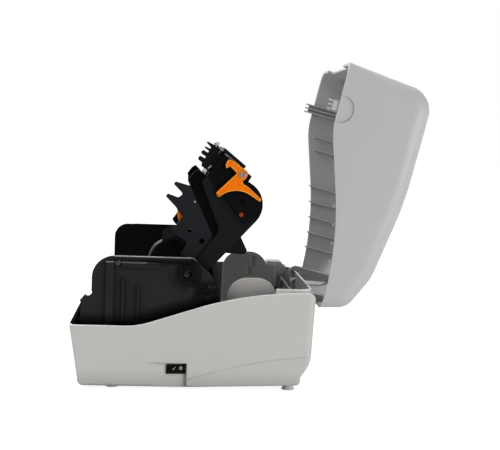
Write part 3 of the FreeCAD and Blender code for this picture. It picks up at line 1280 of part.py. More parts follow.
def heat_sink():
    """Finned aluminium block between carrier and print head."""
    low = head_under_z() + HEAD_THICKNESS
    rear = back(HEAD_REAR)
    block_top = low + SINK_BLOCK
    parts = [block(-SINK_HALF_WIDTH, SINK_HALF_WIDTH, back(SINK_FRONT), rear, low, block_top)]
    step = (2.0 * SINK_HALF_WIDTH - FIN_THICKNESS) / (FIN_COUNT - 1)
    for index in range(FIN_COUNT):
        x = -SINK_HALF_WIDTH + index * step
        parts.append(block(x, x + FIN_THICKNESS, back(CARRIER_FRONT), rear, block_top - 0.5,
                           CARRIER_BOTTOM_Z))
    return opened_module(joined(parts))


def print_head():
    """Ceramic head bar with its connector block."""
    low = head_under_z()
    bar = block(-PLATEN_HALF_LENGTH, PLATEN_HALF_LENGTH, back(HEAD_FRONT), back(HEAD_REAR - 8.0), low,
                low + HEAD_THICKNESS)
    glaze = block(-PLATEN_HALF_LENGTH, PLATEN_HALF_LENGTH, back(HEAD_REAR - 22.0), back(HEAD_REAR),
                  low + 1.2,
                  low + HEAD_THICKNESS)
    plug = block(-30.0, 30.0, back(HEAD_REAR - 7.0), back(HEAD_REAR - 1.0), low - 6.0, low + 2.0)
    return opened_module(joined([bar, glaze, plug]))


def guide_comb():
    """Fingers beside the print head that guide ribbon and labels."""
    comb = slab(COMB_OUTLINE, COMB_X, COMB_X + COMB_WIDTH, PIVOT)
    return opened_module(comb)


def supply_bracket(side):
    """Plate with the ribbon supply bearing on a web below the side plate; the right one has two prongs."""
    outline = (PRONGS if side > 0 else PLAIN_TOP) + BRACKET_FOOT
    inner = MODULE_X - MODULE_PLATE
    plate = joined([slab(outline, inner, MODULE_X, PIVOT), slab(WEB_OUTLINE, inner - MODULE_PLATE, inner,
                                                                PIVOT),
                    slab(WEB_PAD, inner, MODULE_X, PIVOT)])
    holes = [rod(SUPPLY, HUB_JOURNAL + RUN_GAP, 0, MODULE_X - BLIND_SKIN),
             rod(PIVOT + V(0, -34.3, -38.3), 2.6, 0, HALF), slab(WINDOW, 0, HALF, PIVOT)]
    return opened_module(handed(plate.cut(holes), side))


def ribbon_tray():
    """Bent cross plate at the back of the ribbon space."""
    half = MODULE_X - MODULE_PLATE
    return opened_module(slab(RIBBON_TRAY_OUTLINE, -half, half, PIVOT))


def supply_hub(side):
    """Orange hub for the ribbon supply core: journal, disc and winged core."""
    face = MODULE_X - 2.0 * MODULE_PLATE - FREE_GAP
    journal = rod(SUPPLY, HUB_JOURNAL, face - 1.0, MODULE_X - BLIND_SKIN - FREE_GAP)
    disc = rod(SUPPLY, SUPPLY_RADIUS, face - HUB_DISC, face)
    core = rod(SUPPLY, HUB_CORE_RADIUS - 3.0, face - HUB_DISC - HUB_CORE_LENGTH, face - 1.0)
    wings = wing_cross(SUPPLY, HUB_CORE_RADIUS, face - HUB_DISC - HUB_CORE_LENGTH, face - 1.0)
    return opened_module(handed(joined([journal, disc, core] + wings), side))


def wing_cross(centre, radius, x_from, x_to):
    """Four wings that centre a cardboard core."""
    cross = [block(x_from, x_to, centre.y - radius, centre.y + radius, centre.z - 1.2, centre.z + 1.2),
             block(x_from, x_to, centre.y - 1.2, centre.y + 1.2, centre.z - radius, centre.z + radius)]
    return cross


def takeup_hub(side):
    """Orange hub for the ribbon take-up core, borne in the side plate."""
    face = MODULE_X - FREE_GAP
    journal = rod(TAKEUP, TAKEUP_JOURNAL, face - 1.0, MODULE_X + MODULE_PLATE - TAKEUP_SINK)
    disc = rod(TAKEUP, TAKEUP_RADIUS, face - HUB_DISC, face)
    core = rod(TAKEUP, HUB_CORE_RADIUS - 3.0, face - HUB_DISC - HUB_CORE_LENGTH, face - 1.0)
    wings = wing_cross(TAKEUP, HUB_CORE_RADIUS, face - HUB_DISC - HUB_CORE_LENGTH, face - 1.0)
    return opened_module(handed(joined([journal, disc, core] + wings), side))


def latch_lever(side):
    """Orange latch lever: hook, thumb arm and tail around its pivot."""
    face = LEVER_X + LEVER_PLATE
    sunk = outline_face(LEVER_OUTLINE, LEVER).makeOffset2D(-LEVER_RIM)
    sunk.translate(V(face - LEVER_SINK, 0, 0))
    boss = rod(LEVER, LEVER_SHAFT_RADIUS + 2.0, 0, HALF)
    plate = slab(LEVER_OUTLINE, LEVER_X, face, LEVER).cut(sunk.extrude(V(2.0 * LEVER_SINK, 0, 0)).cut(boss))
    holes = [rod(LEVER, LEVER_SHAFT_RADIUS, 0, HALF), rod(LEVER + V(0, *LEVER_TIP_HOLE), 0.9, 0, HALF)]
    return opened_module(handed(plate.cut(holes), side))


def latch_shaft():
    """Shaft that ties both levers together, with a screw head at each end."""
    end = LEVER_X + LEVER_PLATE
    bar = rod(LEVER, LEVER_SHAFT_RADIUS, -end, end)
    heads = [handed(rod(LEVER, LEVER_SHAFT_RADIUS + 0.4, end, end + 1.4), side) for side in SIDES]
    return opened_module(joined([bar] + heads))


def latch_studs():
    """Steel studs on the frame plates that the lever hooks catch."""
    stud = rod(STUD, STUD_RADIUS, LEVER_X - FREE_GAP, FRAME_X + FRAME_PLATE - BLIND_SKIN)
    return Part.makeCompound([handed(stud.copy(), side) for side in SIDES])


def module_pins():
    """Pivot pins of the print module in the frame plates."""
    pin = rod(PIVOT, PIVOT_RADIUS, MODULE_X, FRAME_X + FRAME_PLATE - BLIND_SKIN)
    return Part.makeCompound([handed(pin.copy(), side) for side in SIDES])


def cable_places():
    """X places of the cables that lie side by side."""
    return [CABLE_X + (index - (CABLE_COUNT - 1) / 2.0) * CABLE_PITCH for index in range(CABLE_COUNT)]


def rounded_path(points):
    """Wire of straight runs joined by arcs as large as the runs allow."""
    edges = []
    last = points[0]
    for index in range(1, len(points) - 1):
        here = points[index]
        behind = points[index - 1] - here
        ahead = points[index + 1] - here
        reach = 0.45 * min(behind.Length, ahead.Length)
        start = here + V(behind).normalize() * reach
        end = here + V(ahead).normalize() * reach
        half_angle = behind.getAngle(ahead) / 2.0
        radius = reach * math.tan(half_angle)
        bisector = (V(behind).normalize() + V(ahead).normalize()).normalize()
        middle = here + bisector * (radius / math.sin(half_angle) - radius)
        edges.append(Part.LineSegment(last, start).toShape())
        edges.append(Part.Arc(start, middle, end).toShape())
        last = end
        print("cable bend radius %.1f mm" % radius)
    edges.append(Part.LineSegment(last, points[-1]).toShape())
    return Part.Wire(edges)


def head_cable():
    """Flat bundle of cables from the deck up to the opened module's tray."""
    route = [V(0, back(station), height) for station, height in CABLE_ROUTE]
    path = rounded_path(route)
    section = Part.Wire(Part.makeCircle(CABLE_RADIUS, route[0], route[1] - route[0]))
    tube = path.makePipeShell([section], True, False)
    print("cable length %.1f mm, volume ratio %.4f"
          % (path.Length, tube.Volume / (math.pi * CABLE_RADIUS ** 2 * path.Length)))
    tubes = []
    for x in cable_places():
        copy = tube.copy()
        copy.translate(V(x, 0, 0))
        tubes.append(copy)
    return Part.makeCompound(tubes)


def all_nodes():
    """Every piece by its name."""
    nodes = {
        "base_housing": base_housing(),
        "bottom_plate": bottom_plate(),
        "main_board": main_board(),
        "feet": feet(),
        "switch_body": switch_body(),
        "switch_rocker": switch_rocker(),
        "port_panel": port_panel(),
        "usb_socket": usb_socket(),
        "serial_socket": serial_socket(),
        "power_jack": power_jack(),
        "media_bin": media_bin(),
        "bin_shelf": bin_shelf(),
        "holder_pinion": holder_pinion(),
        "media_deck": media_deck(),
        "label_sensor": label_sensor(),
        "front_bezel": front_bezel(),
        "tear_bar": tear_bar(),
        "side_ledges": side_ledges(),
        "platen_bushes": platen_bushes(),
        "platen_shaft": platen_shaft(),
        "platen_rubber": platen_rubber(),
        "platen_gear": platen_gear(),
        "idler_gear": idler_gear(),
        "motor_pinion": motor_pinion(),
        "stepper_motor": stepper_motor(),
        "hinge_pins": hinge_pins(),
        "module_pins": module_pins(),
        "latch_studs": latch_studs(),
        "lid_hinge_arms": lid_hinge_arms(),
        "lid_shell": opened_lid(lid_shell_closed()),
        "lid_tabs": lid_tabs(),
        "feed_button": feed_button(),
        "status_lens": status_lens(),
        "module_cover": module_cover(),
        "front_plate": front_plate(),
        "head_carrier": head_carrier(),
        "heat_sink": heat_sink(),
        "print_head": print_head(),
        "guide_comb": guide_comb(),
        "ribbon_tray": ribbon_tray(),
        "latch_shaft": latch_shaft(),
        "head_cable": head_cable(),
    }
    for side, hand in ((1, "right"), (-1, "left")):
        nodes["frame_plate_" + hand] = frame_plate(side)
        nodes["media_holder_" + hand] = media_holder(side)
        nodes["module_side_" + hand] = module_side(side)
        nodes["supply_bracket_" + hand] = supply_bracket(side)
        nodes["supply_hub_" + hand] = supply_hub(side)
        nodes["takeup_hub_" + hand] = takeup_hub(side)
        nodes["latch_lever_" + hand] = latch_lever(side)
    return nodes


os.makedirs("parts", exist_ok=True)
for name, shape in all_nodes().items():
    shape.exportStep(os.path.join("parts", name + ".step"))
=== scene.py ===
# %% [markdown]
# # A desktop label printer, opened for loading
# The printer stands with its lid thrown back and its black print module swung up.  The measured
# model comes in as a frame of moving bodies.  This lesson gives each body its finish, adds the small
# pieces that make it read as a real machine, and lights it like a catalogue picture.

# %% Load the measured model
import math
import bmesh
import bpy
from mathutils import Matrix, Vector


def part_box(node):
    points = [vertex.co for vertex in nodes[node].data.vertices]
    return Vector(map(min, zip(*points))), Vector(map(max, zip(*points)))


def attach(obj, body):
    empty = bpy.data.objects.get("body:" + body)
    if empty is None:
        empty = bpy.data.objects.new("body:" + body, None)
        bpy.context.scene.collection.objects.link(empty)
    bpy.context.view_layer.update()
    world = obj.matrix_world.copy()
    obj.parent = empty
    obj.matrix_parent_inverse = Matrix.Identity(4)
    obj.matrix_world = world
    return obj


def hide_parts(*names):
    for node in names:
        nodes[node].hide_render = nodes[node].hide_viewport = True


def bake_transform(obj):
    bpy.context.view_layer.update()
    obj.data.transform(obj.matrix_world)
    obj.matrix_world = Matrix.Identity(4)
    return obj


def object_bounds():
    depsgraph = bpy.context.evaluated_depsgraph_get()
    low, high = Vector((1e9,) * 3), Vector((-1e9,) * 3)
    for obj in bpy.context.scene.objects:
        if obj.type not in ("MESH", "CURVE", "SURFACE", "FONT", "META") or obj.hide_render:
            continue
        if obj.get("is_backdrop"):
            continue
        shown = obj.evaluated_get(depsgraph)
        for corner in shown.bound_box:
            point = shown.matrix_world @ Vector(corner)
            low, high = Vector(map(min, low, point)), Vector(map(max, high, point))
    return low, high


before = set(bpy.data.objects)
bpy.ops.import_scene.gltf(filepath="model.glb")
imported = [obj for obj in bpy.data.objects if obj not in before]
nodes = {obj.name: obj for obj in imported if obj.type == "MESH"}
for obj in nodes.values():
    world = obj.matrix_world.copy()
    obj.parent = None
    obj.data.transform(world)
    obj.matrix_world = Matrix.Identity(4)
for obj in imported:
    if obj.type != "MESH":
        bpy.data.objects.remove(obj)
model_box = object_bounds()

# %% [markdown]
# ## The camera
# The picture is a side view from a little above, with the camera tipped by two degrees.  It could be
# aimed by eye, but its place and lens were solved from the printer's own edges, so they are written
# here as numbers.  A camera looks along its own -Z, so the matrix holds its right, up and backward
# directions as columns.

# %% Camera
CAMERA_PLACE = (1.3313, -0.0976, 0.2993)
YAW = math.radians(-4.505)
PITCH = math.radians(4.881)
ROLL = math.radians(2.158)
HALF_PICTURE_PIXELS = 250.0
FOCAL_PIXELS = 1067.83
FARTHEST_SEEN = 20.0


def add_object(name, data):
    """Object that shows the given data in the scene."""
    made = bpy.data.objects.new(name, data)
    bpy.context.scene.collection.objects.link(made)
    return made


turn = Matrix.Rotation(YAW, 3, "Z") @ Matrix.Rotation(-PITCH, 3, "Y") @ Matrix.Rotation(ROLL, 3, "X")
basis = turn @ Matrix(((0, 0, 1), (1, 0, 0), (0, 1, 0)))
camera_data = bpy.data.cameras.new("camera")
camera_data.sensor_fit = "HORIZONTAL"
camera_data.angle = 2.0 * math.atan(HALF_PICTURE_PIXELS / FOCAL_PIXELS)
camera_data.clip_end = FARTHEST_SEEN
camera = add_object("camera", camera_data)
camera.matrix_world = Matrix.Translation(CAMERA_PLACE) @ basis.to_4x4()
bpy.context.scene.camera = camera
print("lens %.1f mm" % camera_data.lens)

# %% [markdown]
# ## Writing shaders as sums
# A shader is a graph of nodes, and it could be wired node by node, but a formula is easier to read.
# `Wire` holds one output socket, and adding or multiplying wires adds the Math nodes.  `Graph` is one
# node tree, and its `node` method makes every other kind of node: settings first, then the values or
# links of its sockets.

# %% Wires
class Wire:
    """An output socket that answers to arithmetic."""

    def __init__(self, graph, socket):
        self.graph = graph
        self.socket = socket

    def math(self, operation, first, second):
        return self.graph.node("ShaderNodeMath", {"operation": operation}, {0: first, 1: second})

    def __add__(self, other):
        return self.math("ADD", self, other)

    def __radd__(self, other):
        return self.math("ADD", other, self)

    def __sub__(self, other):
        return self.math("SUBTRACT", self, other)

    def __rsub__(self, other):
        return self.math("SUBTRACT", other, self)

    def __mul__(self, other):
        return self.math("MULTIPLY", self, other)

    def __rmul__(self, other):
        return self.math("MULTIPLY", other, self)

    def __lt__(self, other):
        return self.math("LESS_THAN", self, other)

    def __gt__(self, other):
        return self.math("GREATER_THAN", self, other)


class Graph:
    """A node tree whose new nodes all come from one method."""

    def __init__(self, tree):
        self.tree = tree

    def node(self, kind, settings=None, inputs=None, output=0):
        made = self.tree.nodes.new(kind)
        for key, value in (settings or {}).items():
            setattr(made, key, value)
        for key, value in (inputs or {}).items():
            self.join(value, made.inputs[key])
        return Wire(self, made.outputs[output])

    def join(self, value, socket):
        if isinstance(value, Wire):
            self.tree.links.new(value.socket, socket)
        else:
            socket.default_value = value

    def ray(self, kind):
        return self.node("ShaderNodeLightPath", output="Is %s Ray" % kind)

    def component(self, vector, letter):
        return self.node("ShaderNodeSeparateXYZ", None, {0: vector}, letter)

    def clamped(self, value):
        return self.node("ShaderNodeClamp", None, {"Value": value})


print("wires answer to", [name for name in vars(Wire) if name.startswith("__r")], "too")

# %% [markdown]
# ## One material at a time
# `Finish` is the graph of one material.  Painted pictures could carry the same marks, but patterns
# that are worked out from the place on a piece need no file and stay sharp from near by.  Each is
# named for what it shows: noise for grain, a Bevel node for rounded corners, Ambient Occlusion for
# painted shade in crevices.  `rising` and `falling` mark a part of a piece by its place, with a soft border.

# %% Finishes
EDGE_GAIN = 9.0
CREVICE_GAIN = 1.5


class Finish(Graph):
    """One material, with the patterns that its colour and gloss are made of."""

    def __init__(self, name, **constants):
        self.material = bpy.data.materials.new(name)
        self.material.use_nodes = True
        super().__init__(self.material.node_tree)
        self.shader = self.tree.nodes["Principled BSDF"]
        self.feed(**constants)

    def feed(self, **sockets):
        for name, value in sockets.items():
            title = name.replace("_", " ").title().replace("Ior", "IOR")
            self.join(value, self.shader.inputs[title])

    def place(self):
        return self.node("ShaderNodeTexCoord", output="Object")

    def axis(self, letter):
        return self.component(self.place(), letter)

    def noise(self, scale, detail=2.0, roughness=0.5, place=None):
        return self.node("ShaderNodeTexNoise", None, {
            "Vector": place or self.place(), "Scale": scale, "Detail": detail, "Roughness": roughness})

    def mix(self, factor, first, second):
        return self.node("ShaderNodeMix", {"data_type": "RGBA"}, {"Factor": factor, 6: first, 7: second}, 2)

    def bump(self, height, distance, strength, rounding=None):
        inputs = {"Height": height, "Distance": distance, "Strength": strength}
        if rounding:
            inputs["Normal"] = rounding
        return self.node("ShaderNodeBump", None, inputs)

    def rounded(self, radius):
        return self.node("ShaderNodeBevel", {"samples": 6}, {"Radius": radius})

    def edges(self, rounding):
        actual = self.node("ShaderNodeNewGeometry", output="Normal")
        pair = {0: rounding, 1: actual}
        along = self.node("ShaderNodeVectorMath", {"operation": "DOT_PRODUCT"}, pair, "Value")
        return self.clamped((1.0 - along) * EDGE_GAIN)

    def crevices(self, reach):
        # Painted shade: Ambient Occlusion darkens the colour where little light gets in.
        open_sky = self.node("ShaderNodeAmbientOcclusion", {"samples": 4}, {"Distance": reach}, "AO")
        return self.clamped((1.0 - open_sky) * CREVICE_GAIN)

    def rising(self, value, start, steepness):
        return self.clamped((value - start) * steepness)

    def falling(self, value, end, steepness):
        return self.clamped((end - value) * steepness)


def srgb(red, green, blue):
    """Scene-linear colour from the eight-bit values of a picture."""
    values = [channel / 255.0 for channel in (red, green, blue)]
    return tuple(v / 12.92 if v <= 0.04045 else ((v + 0.055) / 1.055) ** 2.4 for v in values) + (1.0,)


def shade(colour, factor):
    """The same colour, lighter or darker."""
    return tuple(channel * factor for channel in colour[:3]) + (1.0,)


print("mid grey is", [round(channel, 3) for channel in srgb(128, 128, 128)])

# %% [markdown]
# ## Moulded plastics
# Nearly all of the printer is injection-moulded.  The tool's spark-eroded face leaves a fine grain,
# the tone wanders a little, and handling polishes it in patches.  Real mouldings have no knife edges.
# The edges of the measured model can't be rounded here, so the Bevel node softens the normal at each
# corner instead.  Where that soft normal leaves the true one there is an edge, and edges are painted
# paler: partly wear, and mostly a painted highlight.

# %% Moulded plastic
DRIFT_SCALE, PATCH_SCALE = 9.0, 30.0
SPECKLE_SHARE, SPECKLE_TONE = 0.25, 0.86
CREVICE_TONE, PAINTED_SHADE_TONE = 0.15, 0.1
CREST_GAIN = 1.6
GLOSS_SPREAD = 0.16
GRAIN_STRENGTH = 0.5
NOISE_MIDDLE = 0.5


def moulded(name, colour, roughness, grain, depth, wander=0.05, specular=0.5, edge=0.0006, wear_and_highlight=1.3,
            rim=None, dark=None, crest=None, crevice_shade=0.9, reach=0.006):
    """Grained plastic: colour drift, patchy gloss, edges painted paler as wear and highlight, painted shade
    in crevices and a fine bump.
    """
    finish = Finish(name, specular_ior_level=specular)
    drift = finish.noise(DRIFT_SCALE, detail=3.0)
    speckle = finish.noise(grain, detail=1.0)
    patches = finish.noise(PATCH_SCALE, detail=4.0, roughness=0.6)
    rounding = finish.rounded(edge)
    corner = finish.edges(rounding)
    tone = finish.mix(drift, shade(colour, 1.0 - wander), shade(colour, 1.0 + wander))
    tone = finish.mix(speckle * SPECKLE_SHARE, tone, shade(colour, SPECKLE_TONE))
    # Paler edges: patchy wear, and a painted highlight wherever a rim colour is given.
    tone = finish.mix(corner if rim else corner * patches, tone, rim or shade(colour, wear_and_highlight))
    # Painted shade in crevices, as strong as the crevice share of each plastic.
    tone = finish.mix(finish.crevices(reach) * crevice_shade, tone, shade(colour, CREVICE_TONE))
    # Painted highlight on the upward faces of rounded edges above a given height.
    if crest:
        lightest, lowest = crest
        upward = finish.clamped(finish.component(rounding, "Z") * CREST_GAIN)
        tone = finish.mix(upward * (finish.axis("Z") > lowest), tone, lightest)
    # Painted shade: a mask darkens the colour where less light falls.
    if dark:
        tone = finish.mix(dark(finish), tone, shade(colour, PAINTED_SHADE_TONE))
    gloss = roughness + (patches - NOISE_MIDDLE) * GLOSS_SPREAD
    grained = finish.bump(speckle, depth, GRAIN_STRENGTH, rounding)
    finish.feed(base_color=tone, roughness=gloss, normal=grained)
    return finish.material


print("hollows are shaded to", PAINTED_SHADE_TONE, "of their colour")

# %% [markdown]
# ## Pale mouldings
# Base and lid are the same plastic, and the lid's grey is made a little darker as painted shade.  The
# base's crest carries a painted highlight where it faces the light, the base has painted shade
# towards the desk, and the shelf beside the far roll holder has a painted shadow on its front end.
# Both of these follow the height or the length of the piece, so they need no picture painted on it.

# %% Pale plastics
DESK_SHADE_TOP, DESK_SHADE_FADE, DESK_SHADE = 0.024, 45.0, 0.3
SHELF_FRONT_END, SHELF_FRONT_FADE, SHELF_FRONT_SHADE = -0.0145, 400.0, 0.86
# Height above which the base's crest gets a painted highlight.
BASE_CREST_LOWEST = 0.03


def low_edge(finish):
    """Painted shade on the last centimetres above the desk."""
    return finish.falling(finish.axis("Z"), DESK_SHADE_TOP, DESK_SHADE_FADE) * DESK_SHADE


def shelf_front(finish):
    """Painted shadow on the front end of the shelf, beside the far roll holder."""
    return finish.falling(finish.axis("Y"), SHELF_FRONT_END, SHELF_FRONT_FADE) * SHELF_FRONT_SHADE


# The rim colours below are painted highlights along the edges of each piece.
base_plastic = moulded(
    "base_plastic", srgb(185, 184, 180), roughness=0.48, grain=1700.0, depth=0.00004, wander=0.03,
    specular=0.4, edge=0.0018, wear_and_highlight=1.05, dark=low_edge, crest=(srgb(238, 238, 238), BASE_CREST_LOWEST))
# Painted shade: the lid's grey is the base's plastic made a little darker.
lid_plastic = moulded(
    "lid_plastic", srgb(176, 176, 178), roughness=0.46, grain=1700.0, depth=0.00004, wander=0.03,
    specular=0.4, edge=0.0012, rim=srgb(200, 200, 202), crevice_shade=0.25)
# Painted shade: the hinge arm is painted darker than the lid, with a painted highlight on its rims.
arm_plastic_shaded = moulded(
    "arm_plastic_shaded", srgb(138, 138, 136), roughness=0.46, grain=1500.0, depth=0.00004, wander=0.04,
    specular=0.3, edge=0.002, rim=srgb(220, 220, 219), crevice_shade=0.5)
tub_plastic = moulded(
    "tub_plastic", srgb(132, 132, 130), roughness=0.6, grain=1500.0, depth=0.00004, specular=0.2,
    wear_and_highlight=1.0)
# The bin's long reach also paints shade deep inside the bin.
bin_plastic = moulded(
    "bin_plastic", srgb(205, 205, 204), roughness=0.5, grain=1500.0, depth=0.00004, specular=0.3,
    edge=0.004, rim=srgb(236, 236, 236), dark=shelf_front, crevice_shade=0.6, reach=0.02)
holder_plastic = moulded(
    "holder_plastic", srgb(186, 183, 180), roughness=0.44, grain=1500.0, depth=0.00003, specular=0.3,
    edge=0.0028, rim=srgb(226, 223, 220), crevice_shade=0.6)
button_plastic = moulded("button_plastic", srgb(150, 150, 150), roughness=0.36, grain=2200.0, depth=0.00002)
gear_plastic = moulded("gear_plastic", srgb(216, 214, 204), roughness=0.4, grain=1800.0, depth=0.00002)
print("materials after the pale mouldings", len(bpy.data.materials))

# %% [markdown]
# ## Painted shade of the black mouldings
# The black frame and the print module are full of hollows that light hardly reaches.  Modelling each
# one would take many small cuts in a measured piece, which must not change here.  From outside a
# hollow in black plastic is only a darker place, so a mask of lengths and heights paints that shade
# into the colour, along with the shadow on the frame plate just above the base.

# %% Masks of the painted shade
INNER_FACE_X = 0.0755
GROOVE_Y, GROOVE_Z = -0.033, 0.2213
GROOVE_NORMAL_Y, GROOVE_NORMAL_Z = 0.79, 0.61
GROOVE_FADE = 400.0
ROUND_END_LOWEST, ROUND_END_FADE, ROUND_END_SHADE = 0.183, 50.0, 0.7
PIVOT = (0.0, -0.0701, 0.134)
PIVOT_BORE, PIVOT_CUP = 0.0086, 0.018
CUP_FADE, CUP_SHADE = 300.0, 0.8
TAIL_START, TAIL_TOP, TAIL_FADE = -0.0665, 0.1295, 140.0
STRIP_BOTTOM, STRIP_TOP, STRIP_FADE = 0.143, 0.1508, 400.0
STRIP_START, STRIP_START_FADE, STRIP_SHADE = -0.12, 300.0, 0.9
FOOT_TOP, FOOT_FADE = 0.087, 110.0
RIM_RISE_START, RIM_RISE_SLOPE, RIM_RISE = -0.139, 10.0, 0.03
FRAME_SHADE = 0.9


def side_shades(finish):
    """Painted shade on the inner faces of the side plates and brackets, and on the round end above the
    groove.
    """
    high = finish.axis("Z")
    inner = finish.node("ShaderNodeMath", {"operation": "ABSOLUTE"}, {0: finish.axis("X")}) < INNER_FACE_X
    beyond = (finish.axis("Y") - GROOVE_Y) * GROOVE_NORMAL_Y + (high - GROOVE_Z) * GROOVE_NORMAL_Z
    round_end = finish.clamped(beyond * GROOVE_FADE) * finish.rising(high, ROUND_END_LOWEST, ROUND_END_FADE)
    return finish.clamped(inner + round_end * ROUND_END_SHADE)


def frame_painted_shade(finish):
    """Painted shade on the tail, the pivot cup, the strip under the top edge and the foot of the frame plate.
    """
    along, high = finish.axis("Y"), finish.axis("Z")
    tail = finish.rising(along, TAIL_START, TAIL_FADE) * finish.falling(high, TAIL_TOP, TAIL_FADE)
    flat = finish.node("ShaderNodeCombineXYZ", None, {"Y": along, "Z": high})
    from_pivot = finish.node("ShaderNodeVectorMath", {"operation": "DISTANCE"}, {0: flat, 1: PIVOT}, "Value")
    bore = from_pivot < PIVOT_BORE
    cup = finish.falling(from_pivot, PIVOT_CUP, CUP_FADE) * CUP_SHADE
    strip = finish.rising(high, STRIP_BOTTOM, STRIP_FADE) * finish.falling(high, STRIP_TOP, STRIP_FADE)
    strip = strip * finish.rising(along, STRIP_START, STRIP_START_FADE) * STRIP_SHADE
    rim_line = finish.rising(along, RIM_RISE_START, RIM_RISE_SLOPE) * RIM_RISE + FOOT_TOP
    foot = finish.falling(high, rim_line, FOOT_FADE)
    return finish.clamped(tail + bore + cup + strip + foot) * FRAME_SHADE


print("dark places around the pivot at", PIVOT)

# %% [markdown]
# ## Black and orange mouldings
# Black plastics differ less in colour than in sheen: the frame is smooth, the ribbon tray is matt and
# the bosses are glossy.  One black with several roughness values could serve, but a dull part would
# still grey at a flat angle, so each black has a low specular level of its own.  The frame's top edge
# carries a painted highlight, and the far frame plate takes the darker matt black as painted shade.
# The parts that a hand may touch are orange; the take-up hubs, deep inside the module, take a darker,
# duller orange as painted shade.

# %% Black and orange plastics
# Height above which the frame plate's top edge gets a painted highlight.
FRAME_CREST_LOWEST = 0.1445

frame_plastic = moulded(
    "frame_plastic", srgb(36, 37, 39), roughness=0.26, grain=1200.0, depth=0.00003, wander=0.3,
    specular=0.04, edge=0.0014, wear_and_highlight=1.5, dark=frame_painted_shade,
    crest=(srgb(148, 149, 153), FRAME_CREST_LOWEST), reach=0.014)
deck_plastic = moulded(
    "deck_plastic", srgb(31, 32, 34), roughness=0.26, grain=1200.0, depth=0.00003, wander=0.3,
    specular=0.12, edge=0.0014, wear_and_highlight=1.5)
module_plastic = moulded(
    "module_plastic", srgb(19, 20, 22), roughness=0.34, grain=1300.0, depth=0.00003, wander=0.35,
    specular=0.04, wear_and_highlight=1.8)
bracket_plastic = moulded(
    "bracket_plastic", srgb(32, 33, 36), roughness=0.34, grain=1300.0, depth=0.00003, wander=0.4,
    specular=0.03, wear_and_highlight=1.7, dark=side_shades)
side_plastic = moulded(
    "side_plastic", srgb(24, 25, 27), roughness=0.34, grain=1300.0, depth=0.00003, wander=0.4,
    specular=0.03, wear_and_highlight=1.7, dark=side_shades)
# Matt black of the bezel and ribbon tray; on the far frame plate and the hinge bore it is painted shade.
matt_black_and_shade = moulded(
    "matt_black_and_shade", srgb(20, 21, 22), roughness=0.9, grain=1100.0, depth=0.00005, wander=0.15,
    specular=0.0, wear_and_highlight=2.0)
gloss_black = moulded(
    "gloss_black", srgb(10, 11, 12), roughness=0.18, grain=2200.0, depth=0.00001, wander=0.1,
    specular=0.16, wear_and_highlight=2.0)
switch_plastic = moulded(
    "switch_plastic", srgb(11, 11, 12), roughness=0.4, grain=2200.0, depth=0.00002, wander=0.1,
    specular=0.05, wear_and_highlight=1.6)
# The orange's rim colour is a painted highlight on the lever's raised rim.
orange_plastic = moulded(
    "orange_plastic", srgb(238, 114, 0), roughness=0.4, grain=2000.0, depth=0.00002, wander=0.04,
    specular=0.1, edge=0.0012, rim=srgb(255, 182, 64), crevice_shade=0.3)
# Painted shade: the take-up hubs are the lever's orange made darker.
orange_in_shade = moulded(
    "orange_in_shade", srgb(150, 58, 12), roughness=0.44, grain=2000.0, depth=0.00002, wander=0.04,
    specular=0.1, edge=0.0005, wear_and_highlight=1.1)
print("materials after all mouldings", len(bpy.data.materials))

# %% [markdown]
# ## Metals, rubber and the rest
# Metal is told by its streaks: a shaft has fine lines along it, a milled block has long scratches, and
# a screw has none that show.  Anisotropic reflection could hint at them, but noise that is stretched
# along an axis, or along none, draws all three.  Rubber is a dark or pale rough surface with a coarse
# grain, and the board, the ceramic of the print head, the cable's sleeve and the green lamp need only
# that same grain with other numbers.

# %% Metals and others
STREAK_TONE, STREAK_SPREAD = 0.82, 0.2
STREAK_DEPTH, STREAK_STRENGTH = 0.00002, 0.4
STAIN_SCALE, STAIN_SHARE, STAIN_TONE = 60.0, 0.3, 0.7
GRAIN_DARK, GRAIN_LIGHT = 0.8, 1.15
GRAIN_GLOSS_SPREAD, COARSE_STRENGTH = 0.2, 0.6


def metal(name, colour, roughness, scale):
    """Bare metal with streaks along the axes whose scale is small."""
    finish = Finish(name, metallic=1.0)
    lines = finish.node("ShaderNodeMapping", None, {"Vector": finish.place(), "Scale": scale})
    streak = finish.noise(1.0, detail=3.0, place=lines)
    stain = finish.noise(STAIN_SCALE, detail=4.0)
    tone = finish.mix(streak, shade(colour, STREAK_TONE), colour)
    tone = finish.mix(stain * STAIN_SHARE, tone, shade(colour, STAIN_TONE))
    scratched = finish.bump(streak, STREAK_DEPTH, STREAK_STRENGTH)
    finish.feed(base_color=tone, roughness=roughness + streak * STREAK_SPREAD, normal=scratched)
    return finish.material


def plain(name, colour, roughness, grain, depth, **constants):
    """Simple grained surface for rubber, ceramic, lacquer, sleeves and ink."""
    finish = Finish(name, **constants)
    speckle = finish.noise(grain)
    tone = finish.mix(speckle, shade(colour, GRAIN_DARK), shade(colour, GRAIN_LIGHT))
    gloss = roughness + (speckle - NOISE_MIDDLE) * GRAIN_GLOSS_SPREAD
    grained = finish.bump(speckle, depth, COARSE_STRENGTH)
    finish.feed(base_color=tone, roughness=gloss, normal=grained)
    return finish.material


